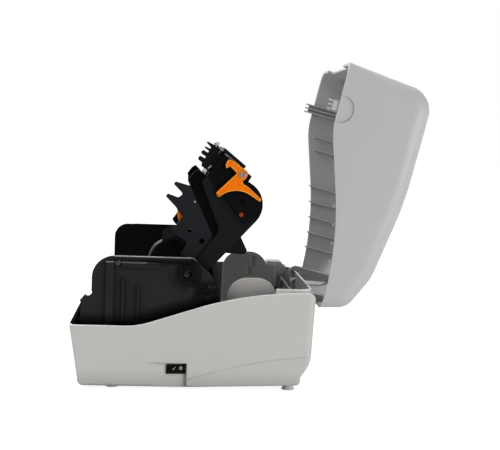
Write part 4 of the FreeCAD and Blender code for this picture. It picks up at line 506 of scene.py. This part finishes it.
steel = metal("steel", srgb(176, 176, 178), roughness=0.24, scale=(40.0, 900.0, 900.0))
zinc_plate = metal("zinc_plate", srgb(178, 178, 176), roughness=0.34, scale=(900.0, 60.0, 60.0))
aluminium = metal("aluminium", srgb(140, 141, 144), roughness=0.34, scale=(60.0, 1200.0, 1200.0))
screw_steel = metal("screw_steel", srgb(140, 140, 142), roughness=0.32, scale=(500.0, 500.0, 500.0))
dark_steel = metal("dark_steel", srgb(72, 73, 75), roughness=0.34, scale=(500.0, 500.0, 500.0))
bronze = metal("bronze", srgb(170, 128, 74), roughness=0.4, scale=(500.0, 500.0, 500.0))
platen_black = plain("platen_black", srgb(34, 34, 35), roughness=0.62, grain=900.0, depth=0.00005)
foot_rubber = plain("foot_rubber", srgb(196, 195, 191), roughness=0.7, grain=800.0, depth=0.00006)
ceramic = plain("ceramic", srgb(34, 34, 36), roughness=0.24, grain=500.0, depth=0.00001)
lacquer_green = plain("lacquer_green", srgb(22, 84, 48), roughness=0.3, grain=700.0, depth=0.00002)
cable_sleeve = plain("cable_sleeve", srgb(36, 37, 39), roughness=0.32, grain=1500.0, depth=0.00003)
lamp_lens = plain(
    "lamp_lens", srgb(110, 190, 120), roughness=0.16, grain=600.0, depth=0.00001,
    transmission_weight=0.4)
white_ink = plain("white_ink", srgb(226, 228, 228), roughness=0.5, grain=2500.0, depth=0.00001)
print("materials in all", len(bpy.data.materials))

# %% [markdown]
# ## Dressing the measured pieces
# Every hard piece that came with the model gets its finish by name.  Each could be dressed in a line
# of its own, but a table reads like a bill of materials, and a missing name shows in the printed list.

# %% Finishes by piece
FINISHES = {
    base_plastic: ["base_housing", "bottom_plate"],
    lid_plastic: ["lid_shell", "lid_tabs"],
    arm_plastic_shaded: ["lid_hinge_arms"],
    bin_plastic: ["bin_shelf"],
    tub_plastic: ["media_bin"],
    holder_plastic: ["media_holder_right", "media_holder_left"],
    frame_plastic: ["frame_plate_right"],
    deck_plastic: ["side_ledges", "media_deck", "label_sensor"],
    # The far frame plate is the near plate's plastic; this darker black on it is painted shade.
    matt_black_and_shade: ["front_bezel", "ribbon_tray", "frame_plate_left"],
    module_plastic: ["module_cover", "front_plate", "head_carrier", "guide_comb", "module_pins"],
    side_plastic: ["module_side_right", "module_side_left"],
    bracket_plastic: ["supply_bracket_right", "supply_bracket_left"],
    orange_plastic: ["latch_lever_right", "latch_lever_left", "supply_hub_right", "supply_hub_left"],
    orange_in_shade: ["takeup_hub_right", "takeup_hub_left"],
    button_plastic: ["feed_button"],
    gear_plastic: ["holder_pinion", "platen_gear", "idler_gear"],
    switch_plastic: ["switch_body", "switch_rocker", "power_jack"],
    steel: ["platen_shaft", "latch_shaft", "latch_studs", "hinge_pins", "tear_bar", "motor_pinion"],
    zinc_plate: ["port_panel", "usb_socket", "serial_socket", "stepper_motor"],
    aluminium: ["heat_sink"],
    bronze: ["platen_bushes"],
    platen_black: ["platen_rubber"],
    foot_rubber: ["feet"],
    ceramic: ["print_head"],
    lacquer_green: ["main_board"],
    lamp_lens: ["status_lens"],
}
undressed = set(nodes)
for material, names in FINISHES.items():
    for name in names:
        nodes[name].data.materials.clear()
        nodes[name].data.materials.append(material)
        undressed.discard(name)
print("left for the cable lesson:", sorted(undressed))

# %% [markdown]
# ## Placing new pieces
# A new piece has to touch the printer, so its place is found by shooting a straight line at it, as
# one would feel for a surface with a rod.  That is safer than typing a depth, which would leave the
# piece hanging in the air or sunk in.  Each piece then rides on the body that carries it.

# %% Helpers for new pieces
RIGHT, LEFT = (1.0, 0.0, 0.0), (-1.0, 0.0, 0.0)
REARWARD, FORWARD = (0.0, 1.0, 0.0), (0.0, -1.0, 0.0)
DOWN = (0.0, 0.0, -1.0)
OUTSIDE_X = 0.2
BESIDE_MODULE_X = 0.12


def fit(name, data, material, body):
    """Object of one material that rides a body of the printer."""
    data.materials.append(material)
    piece = add_object(name, data)
    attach(piece, body)
    return piece


def new_piece(name, mesh, material, body):
    """Piece from a finished bmesh, shaded smooth."""
    data = bpy.data.meshes.new(name)
    mesh.normal_update()
    mesh.to_mesh(data)
    mesh.free()
    data.shade_smooth()
    return fit(name, data, material, body)


def bridge(mesh, first, second):
    """Ring of faces between two loops with the same number of points."""
    count = len(first)
    for step in range(count):
        other = (step + 1) % count
        mesh.faces.new((first[step], first[other], second[other], second[step]))


def touch(origin, direction):
    """Where a straight line from a point first meets the printer."""
    bpy.context.view_layer.update()
    graph = bpy.context.evaluated_depsgraph_get()
    return bpy.context.scene.ray_cast(graph, Vector(origin), Vector(direction))[1]


def near_side(y, z, start=OUTSIDE_X):
    """Point of the near side at the given length and height."""
    return touch((start, y, z), LEFT)


def rounded_off(point):
    """Short form of a point, to be printed."""
    return [round(value, 4) for value in point]


print("near wall at", rounded_off(near_side(0.0, 0.05)))

# %% [markdown]
# ## Screws
# The frame is held by small pan-head screws with a cross recess.  The cross could be cut out with a
# Boolean, but a head is a low dome and its cross only a dip in that dome, so a polar grid whose height
# is worked out point by point makes both at once.  All heads of one group share one mesh.

# %% Screw heads
HEAD_STEPS = 40
HEAD_RINGS = (1.0, 1.0, 0.9, 0.74, 0.62, 0.58, 0.45, 0.3, 0.16)
HEAD_FOOT = -0.1
DOME_HEIGHT, CROSS_DEPTH = 0.62, 0.34
CROSS_WIDTH, CROSS_LENGTH = 0.15, 0.6


def head_height(x, y):
    """Height of a unit screw head: a dome with a cross pressed into it."""
    cross = min(abs(x), abs(y)) < CROSS_WIDTH and max(abs(x), abs(y)) < CROSS_LENGTH
    return DOME_HEIGHT * (1.0 - 0.5 * (x * x + y * y)) - (CROSS_DEPTH if cross else 0.0)


def screws(name, spots, radius, material, body):
    """Pan heads that stand on the given places along their axes."""
    mesh = bmesh.new()
    for place, axis in spots:
        turn_head = Vector(axis).to_track_quat("Z", "Y").to_matrix()
        rings = []
        for size in HEAD_RINGS:
            ring = []
            for step in range(HEAD_STEPS):
                angle = math.tau * (step + 0.5) / HEAD_STEPS
                x, y = size * math.cos(angle), size * math.sin(angle)
                point = Vector((x, y, head_height(x, y) if rings else HEAD_FOOT))
                ring.append(mesh.verts.new(Vector(place) + turn_head @ point * radius))
            if rings:
                bridge(mesh, rings[-1], ring)
            rings.append(ring)
        mesh.faces.new(rings[-1])
    return new_piece(name, mesh, material, body)


print("points of one screw head", HEAD_STEPS * len(HEAD_RINGS))

# %% Where the screws sit
FRAME_SCREW_PLACES = ((-0.0712, 0.131), (-0.152, 0.1447))
PANEL_INSET, HATCH_INSET = 0.005, 0.007
SHAFT_SCREW, FRAME_SCREW, PANEL_SCREW, HATCH_SCREW = 0.0031, 0.0026, 0.0026, 0.0028


def inset_ends(box, axis, inset):
    """Both ends of a box along one axis, drawn in by the inset."""
    return box[0][axis] + inset, box[1][axis] - inset


def middle_along(box, axis):
    """Middle of a box along one axis."""
    return (box[0][axis] + box[1][axis]) / 2.0


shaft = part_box("latch_shaft")
shaft_y, shaft_z = middle_along(shaft, 1), middle_along(shaft, 2)
shaft_spots = [((shaft[1][0], shaft_y, shaft_z), RIGHT), ((shaft[0][0], shaft_y, shaft_z), LEFT)]
screws("shaft_screws", shaft_spots, SHAFT_SCREW, screw_steel, "latch")
frame_spots = [(near_side(y, z), RIGHT) for y, z in FRAME_SCREW_PLACES]
screws("frame_screws", frame_spots, FRAME_SCREW, dark_steel, "base")
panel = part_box("port_panel")
panel_spots = [((x, panel[1][1], z), REARWARD) for x in inset_ends(panel, 0, PANEL_INSET)
               for z in inset_ends(panel, 2, PANEL_INSET)]
screws("panel_screws", panel_spots, PANEL_SCREW, zinc_plate, "base")
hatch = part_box("bottom_plate")
hatch_spots = [((x, y, hatch[0][2]), DOWN) for x in inset_ends(hatch, 0, HATCH_INSET)
               for y in inset_ends(hatch, 1, HATCH_INSET)]
screws("hatch_screws", hatch_spots, HATCH_SCREW, zinc_plate, "base")
print("screws", len(shaft_spots) + len(frame_spots) + len(panel_spots) + len(hatch_spots))

# %% [markdown]
# ## Marks on the power switch
# The rocker carries the two usual marks in white: a bar for on and a ring for off.  They could be part
# of its material, but printed marks are easier to place as thin shapes.  They follow the rocker's
# sloping face, so each point is dropped onto that face and lifted by the thickness of the ink.

# %% Switch marks
INK_THICKNESS = 0.00012
LOOP_STEPS = 28
RING_FROM_MIDDLE, RING_OUTER, RING_INNER = (0.0061, 0.0012), (0.0017, 0.0019), (0.0012, 0.0014)
BAR_FROM_MIDDLE, BAR_OUTER, BAR_INNER = (-0.0018, 0.0006), (0.0004, 0.0017), (0.0001, 0.0004)
BAR_LEAN = 0.9


def ink(name, loops):
    """Flat printed shapes on the rocker, each a strip between an outer and an inner loop."""
    mesh = bmesh.new()
    lift = Vector((INK_THICKNESS, 0.0, 0.0))
    for pair in loops:
        rows = []
        for loop in pair:
            found = [near_side(y, z) for y, z in loop]
            rows.append([mesh.verts.new(point + lift) for point in found])
        bridge(mesh, rows[0], rows[1])
    return new_piece(name, mesh, white_ink, "rocker")


def ellipse(y, z, wide, high, lean=0.0):
    """Loop of points around a middle, leaning towards the rear."""
    points = []
    for step in range(LOOP_STEPS):
        angle = math.tau * step / LOOP_STEPS
        up = high * math.sin(angle)
        points.append((y + wide * math.cos(angle) + lean * up, z + up))
    return points


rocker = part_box("switch_rocker")
rocker_y, rocker_z = middle_along(rocker, 1), middle_along(rocker, 2)
ring = (rocker_y + RING_FROM_MIDDLE[0], rocker_z + RING_FROM_MIDDLE[1])
bar = (rocker_y + BAR_FROM_MIDDLE[0], rocker_z + BAR_FROM_MIDDLE[1])
off_ring = (ellipse(*ring, *RING_OUTER), ellipse(*ring, *RING_INNER))
on_bar = (ellipse(*bar, *BAR_OUTER, BAR_LEAN), ellipse(*bar, *BAR_INNER, BAR_LEAN))
marks = ink("switch_marks", [off_ring, on_bar])
print("switch marks have", len(marks.data.polygons), "faces")

# %% [markdown]
# ## Turned and bent parts
# Most small metal parts are turned on a lathe or bent from wire.  So a turned part is a profile swept
# about an axis, and a wire is a curve with a round section.  Both are quicker to write than a mesh
# built face by face, and they keep their round edges from near by.

# %% Lathe and wire
LATHE_STEPS = 48
FLUTE_DEPTH = 0.06
COIL_STEPS = 12
SPLINE_ORDER = 3
WIRE_ROUNDNESS = 4


def turned(name, profile, place, axis, material, body, flutes=0):
    """Turn a profile of radius and height about an axis; flutes make a grip."""
    mesh = bmesh.new()
    turn_piece = Vector(axis).to_track_quat("Z", "Y").to_matrix()
    rows = []
    for radius, height in profile:
        row = []
        for step in range(LATHE_STEPS):
            angle = math.tau * step / LATHE_STEPS
            wide = radius * (1.0 + FLUTE_DEPTH * math.cos(flutes * angle)) if flutes else radius
            point = Vector((wide * math.cos(angle), wide * math.sin(angle), height))
            row.append(mesh.verts.new(Vector(place) + turn_piece @ point))
        if rows:
            bridge(mesh, rows[-1], row)
        rows.append(row)
    mesh.faces.new(rows[-1])
    mesh.faces.new(rows[0][::-1])
    return new_piece(name, mesh, material, body)


def smooth_line(name, points):
    """Curve that bends smoothly along a line of points."""
    data = bpy.data.curves.new(name, "CURVE")
    data.dimensions = "3D"
    data.use_fill_caps = True
    spline = data.splines.new("NURBS")
    spline.points.add(len(points) - 1)
    for point, place in zip(spline.points, points):
        point.co = (*place, 1.0)
    spline.order_u = SPLINE_ORDER
    spline.use_endpoint_u = True
    return data


def wire(name, points, radius, material, body):
    """Bent wire along a line of points."""
    data = smooth_line(name, points)
    data.bevel_depth = radius
    data.bevel_resolution = WIRE_ROUNDNESS
    return fit(name, data, material, body)


def coil(start, end, radius, turns):
    """Points of a coil spring between two places."""
    turn_coil = (end - start).to_track_quat("Z", "Y").to_matrix()
    points = []
    for step in range(turns * COIL_STEPS + 1):
        angle = math.tau * step / COIL_STEPS
        side = turn_coil @ Vector((radius * math.cos(angle), radius * math.sin(angle), 0.0))
        points.append(start.lerp(end, step / (turns * COIL_STEPS)) + side)
    return points


print("faces round a turned part", LATHE_STEPS)

# %% [markdown]
# ## Small fittings of the print module
# Beside the comb sit a pale thumb nut and a small tension spring for the print head.  A spring wire
# lies along the near side under the lever, and a bright rivet holds the near bracket.  They could be
# pieces of the measured model, but they don't move by themselves and carry nothing, so they are added
# here, each on the surface that holds it.

# %% Module fittings
NUT_PROFILE = [(0.0012, -0.001), (0.0012, 0.003), (0.0027, 0.0032), (0.003, 0.0038), (0.003, 0.0068),
               (0.0026, 0.0074)]
NUT_ABOVE, NUT_AXIS, NUT_FLUTES = (0.067, -0.0392, 0.33), (0.0, -0.3, 0.95), 12
SPRING_PLACES = ((-0.0462, 0.2596), (-0.0506, 0.2562))
SPRING_RADIUS, SPRING_TURNS, SPRING_WIRE = 0.0013, 5, 0.00032
LATCH_SPRING_PLACES = ((-0.0312, 0.2748), (-0.0225, 0.2684), (-0.0135, 0.2618))
LATCH_SPRING_WIRE = 0.0005
RIVET_PROFILE = [(0.0013, -0.0005), (0.0013, 0.0003), (0.0009, 0.0008), (0.0003, 0.001)]
RIVET_PLACE = (-0.0647, 0.2173)

nut_foot = touch(NUT_ABOVE, DOWN)
turned("thumb_nut", NUT_PROFILE, nut_foot, NUT_AXIS, base_plastic, "print_module", NUT_FLUTES)
spring_out = Vector((SPRING_RADIUS, 0.0, 0.0))
spring_ends = [near_side(y, z, BESIDE_MODULE_X) + spring_out for y, z in SPRING_PLACES]
spring_line = coil(*spring_ends, SPRING_RADIUS, SPRING_TURNS)
wire("head_spring", spring_line, SPRING_WIRE, steel, "print_module")
latch_line = [near_side(y, z, BESIDE_MODULE_X) for y, z in LATCH_SPRING_PLACES]
wire("latch_spring", latch_line, LATCH_SPRING_WIRE, steel, "print_module")
rivet_seat = near_side(*RIVET_PLACE, BESIDE_MODULE_X)
turned("bracket_rivet", RIVET_PROFILE, rivet_seat, RIGHT, steel, "print_module")
print("thumb nut at", rounded_off(nut_foot), "rivet at", rounded_off(rivet_seat))

# %% [markdown]
# ## Bosses on the frame
# The plate that carries the module ends in glossy black bosses: a cup round the pivot, and two stops
# lower down that catch small reflections.  A plain disc would show as a flat spot, so each one is a
# turned profile with a rim, a dip and a button in the middle.

# %% Frame bosses
CUP_PROFILE = [(1.0, -0.1), (1.0, 0.22), (0.92, 0.3), (0.78, 0.3), (0.7, 0.2), (0.66, 0.06), (0.3, 0.05),
               (0.26, 0.2), (0.1, 0.24)]
BOSSES = ((-0.0688, 0.1335, 0.0072), (-0.0426, 0.1196, 0.0046), (-0.0485, 0.1066, 0.0056))

for number, (y, z, radius) in enumerate(BOSSES):
    seat = near_side(y, z)
    profile = [(radius * wide, radius * high) for wide, high in CUP_PROFILE]
    turned("frame_boss_%d" % number, profile, seat, RIGHT, gloss_black, "base")
    print("boss", number, "at", rounded_off(seat))

# %% [markdown]
# ## Hinge barrel and its springs
# The lid's long arm ends in a barrel with a dark middle.  A bore could be cut there, but the measured
# piece must not change here, so a turned black cap stands for it and swings with the lid; the cap is
# painted shade for the bore.  A bent spring leg stands at the end of the shelf, and a small coil sits
# on the rear wall below.  Both springs are one bent wire each and stay with the base, clear of the arm's
# swing.

# %% Hinge fittings
CAP_PROFILE = [(0.0034, -0.0002), (0.0034, 0.0004), (0.0024, 0.0008), (0.001, 0.0009)]
BARREL_PLACE, SHELF_END_PLACE = (0.0722, 0.1195), (0.061, 0.1165)
INSIDE_X = 0.0
LEG_BENDS = ((-0.0005, 0.0, 0.0), (0.0038, 0.0, 0.0), (0.004, 0.0012, 0.003), (0.004, 0.0008, 0.008),
             (0.004, -0.0006, 0.0118))
LEG_WIRE = 0.0007
BEFORE_REAR_WALL = (-0.025, 0.03, 0.1085)
COIL_FROM_WALL, COIL_HALF_HEIGHT = 0.0018, 0.004
COIL_RADIUS, COIL_TURNS, COIL_WIRE = 0.0016, 6, 0.0004

barrel = near_side(*BARREL_PLACE, INSIDE_X)
# Painted shade: a black cap stands for the shade inside the barrel's bore.
turned("hinge_bore_shade", CAP_PROFILE, barrel, RIGHT, matt_black_and_shade, "lid")
shelf_end = near_side(*SHELF_END_PLACE, INSIDE_X)
leg_line = [shelf_end + Vector(bend) for bend in LEG_BENDS]
wire("hinge_spring_leg", leg_line, LEG_WIRE, bin_plastic, "base")
hook = touch(BEFORE_REAR_WALL, REARWARD)
hook_ends = [hook + Vector((0.0, -COIL_FROM_WALL, up)) for up in (COIL_HALF_HEIGHT, -COIL_HALF_HEIGHT)]
hook_line = coil(*hook_ends, COIL_RADIUS, COIL_TURNS)
wire("hinge_coil", hook_line, COIL_WIRE, dark_steel, "base")
print("hinge barrel at", rounded_off(barrel), "shelf end at", rounded_off(shelf_end))

# %% [markdown]
# ## Head cables
# Three round cables climb out of the deck and lean over into the opened module, to feed its print
# head.  Their route is the one of the measured model, and a smooth spline makes it a flexible line.
# The tube is a mesh made from a curve with a bevel, and it keeps the route of the opened printer.

# %% Head cables
CABLE_ROUTE = [(-0.1172, 0.0495), (-0.1182, 0.077), (-0.1186, 0.106), (-0.118, 0.132), (-0.1152, 0.15),
               (-0.1067, 0.162), (-0.0922, 0.1675)]
CABLE_PLACES = (0.012, 0.018, 0.024)
CABLE_RADIUS = 0.0022
CABLE_FINENESS, CABLE_ROUNDNESS = 24, 6


def cable(name, x):
    """Round tube along the route between the deck and the module."""
    route = [(x, y, z) for y, z in CABLE_ROUTE]
    curve = smooth_line(name, route)
    curve.resolution_u = CABLE_FINENESS
    line = bpy.data.objects.new(name + "_line", curve)
    path = [vertex.co.copy() for vertex in bpy.data.meshes.new_from_object(line).vertices]
    curve.bevel_depth = CABLE_RADIUS
    curve.bevel_resolution = CABLE_ROUNDNESS
    tube = bpy.data.meshes.new_from_object(line)
    tube.name = name
    tube.shade_smooth()
    tube.materials.append(cable_sleeve)
    piece = add_object(name, tube)
    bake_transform(piece)
    return piece


cables = [cable("head_cable_%d" % number, x) for number, x in enumerate(CABLE_PLACES)]
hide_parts("head_cable")
print("head cables", len(cables))

# %% [markdown]
# ## Contacts in the sockets
# Seen from the rear, a socket without contacts looks like a hole.  The serial socket has nine pins in
# two rows and the power jack one centre pin.  They could be plain cylinders, but a sawn-off end looks
# raw from near by, so each is turned with a rounded nose.  It stands on the floor of its socket, which
# a line shot in from behind finds.

# %% Socket contacts
PIN_FOOT = -0.0005
PIN_PITCH = 0.00277
PIN_ROWS = ((0.0014, 5), (-0.0014, 4))
SERIAL_PIN, JACK_PIN = (0.0005, 0.0045), (0.0011, 0.006)
BEHIND = 0.02


def pin_profile(radius, length):
    """Thin pin with a rounded nose."""
    nose = [(radius * 0.7, length - radius * 0.3), (radius * 0.25, length)]
    return [(radius, PIN_FOOT), (radius, length - radius)] + nose


def rear_middle(name):
    """Middle of a piece across the rear face, at its rearmost plane."""
    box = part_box(name)
    return Vector((middle_along(box, 0), box[1][1], middle_along(box, 2)))


serial = rear_middle("serial_socket")
for row, count in PIN_ROWS:
    for step in range(count):
        x = serial.x + (step - (count - 1) / 2.0) * PIN_PITCH
        foot = touch((x, serial.y + BEHIND, serial.z + row), FORWARD)
        pin_name = "serial_pin_%d_%d" % (count, step)
        turned(pin_name, pin_profile(*SERIAL_PIN), foot, REARWARD, bronze, "base")
jack = rear_middle("power_jack")
jack_foot = touch((jack.x, jack.y + BEHIND, jack.z), FORWARD)
turned("jack_pin", pin_profile(*JACK_PIN), jack_foot, REARWARD, steel, "base")
print("serial socket at", rounded_off(serial), "power jack at", rounded_off(jack))

# %% [markdown]
# ## Studio
# A catalogue picture has a seamless white ground and broad soft light.  More light would bleach the
# pale plastics, so the lamps stay at a plain level and the white comes from what the camera ray sees.
# Glossy and clear surfaces see the same white, darker on the side where the camera stands.

# %% World
WHITE = (1.0, 1.0, 1.0, 1.0)
AMBIENT = 0.33
ROOM_BEHIND_CAMERA = 0.3
ROOM_FADE_START, ROOM_FADE_END = -0.1, 0.6

world = bpy.data.worlds.new("studio")
bpy.context.scene.world = world
world.use_nodes = True
sky = Graph(world.node_tree)
sky.tree.nodes.remove(sky.tree.nodes["Background"])


def background(strength):
    """White sky of a strength."""
    return sky.node("ShaderNodeBackground", None, {"Color": WHITE, "Strength": strength})


rays = {0: sky.ray("Glossy"), 1: sky.ray("Transmission")}
mirrored = sky.node("ShaderNodeMath", {"operation": "MAXIMUM"}, rays)
across = sky.component(sky.node("ShaderNodeTexCoord", output="Generated"), "X")
room = sky.node("ShaderNodeMapRange", None, {
    "Value": across, "From Min": ROOM_FADE_START, "From Max": ROOM_FADE_END, "To Min": 1.0,
    "To Max": ROOM_BEHIND_CAMERA})
bounced = sky.node("ShaderNodeMixShader", None, {0: mirrored, 1: background(AMBIENT), 2: background(room)})
seen = sky.node("ShaderNodeMixShader", None, {0: sky.ray("Camera"), 1: bounced, 2: background(1.0)})
sky.join(seen, sky.tree.nodes["World Output"].inputs["Surface"])
bpy.context.scene.view_settings.view_transform = "Standard"
print("sky nodes", len(sky.tree.nodes))

# %% [markdown]
# ## Lamps and floor
# A key lamp from the front, a low fill from the rear and a broad lamp overhead model the lid's round
# back and the base's crest.  A sun lamp would cast hard shadows, so all three are broad areas.  The
# floor is white paper that glows a little for the camera and for reflections, and still takes the
# printer's soft shadow.

# %% Lamps
MIDDLE = (0.0, 0.0, 0.18)
LAMPS = {
    "key": ((1.4, -1.0, 0.6), (1.2, 1.2), 5.0),
    "fill": ((1.0, 1.2, 0.15), (1.0, 0.5), 14.5),
    "top": ((-0.1, -0.8, 1.6), (1.2, 1.2), 30.0),
}

for name, (place, size, power) in LAMPS.items():
    data = bpy.data.lights.new(name, "AREA")
    data.shape = "RECTANGLE"
    data.size, data.size_y = size
    data.energy = power
    made = add_object(name, data)
    made.location = place
    made.rotation_euler = (Vector(MIDDLE) - Vector(place)).to_track_quat("-Z", "Y").to_euler()
print("lamps", list(LAMPS))

# %% Floor
FLOOR_HALF = 12.0
FLOOR_GLOW, GLOW_SHARE = 2.2, 0.4
PAPER_DARK, PAPER_LIGHT = (0.72, 0.72, 0.72, 1.0), (0.75, 0.75, 0.75, 1.0)
PAPER_SCALE = 3.0
FLOOR_CORNERS = [(-FLOOR_HALF, -FLOOR_HALF, 0.0), (FLOOR_HALF, -FLOOR_HALF, 0.0),
                 (FLOOR_HALF, FLOOR_HALF, 0.0), (-FLOOR_HALF, FLOOR_HALF, 0.0)]

ground = bpy.data.meshes.new("floor")
ground.from_pydata(FLOOR_CORNERS, [], [(0, 1, 2, 3)])
floor = add_object("floor", ground)
floor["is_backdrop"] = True
paper = Finish("floor_paper", roughness=0.9, specular_ior_level=0.0)
paper.feed(base_color=paper.mix(paper.noise(PAPER_SCALE), PAPER_DARK, PAPER_LIGHT))
lit = Wire(paper, paper.shader.outputs[0])
glow = paper.node("ShaderNodeEmission", None, {"Strength": FLOOR_GLOW})
watched = paper.clamped(paper.ray("Camera") + paper.ray("Glossy") + paper.ray("Transmission"))
over = paper.node("ShaderNodeMixShader", None, {0: watched * GLOW_SHARE, 1: lit, 2: glow})
paper.join(over, paper.tree.nodes["Material Output"].inputs["Surface"])
ground.materials.append(paper.material)
print("floor of", 2.0 * FLOOR_HALF, "m")

# That could be judged by eye, but two printed boxes show it exactly: the one of the measured model
# and the one of everything that is seen.

# %% Finish
size = {"cad": [list(corner) for corner in model_box], "visual": [list(corner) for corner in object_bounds()]}
print(size)
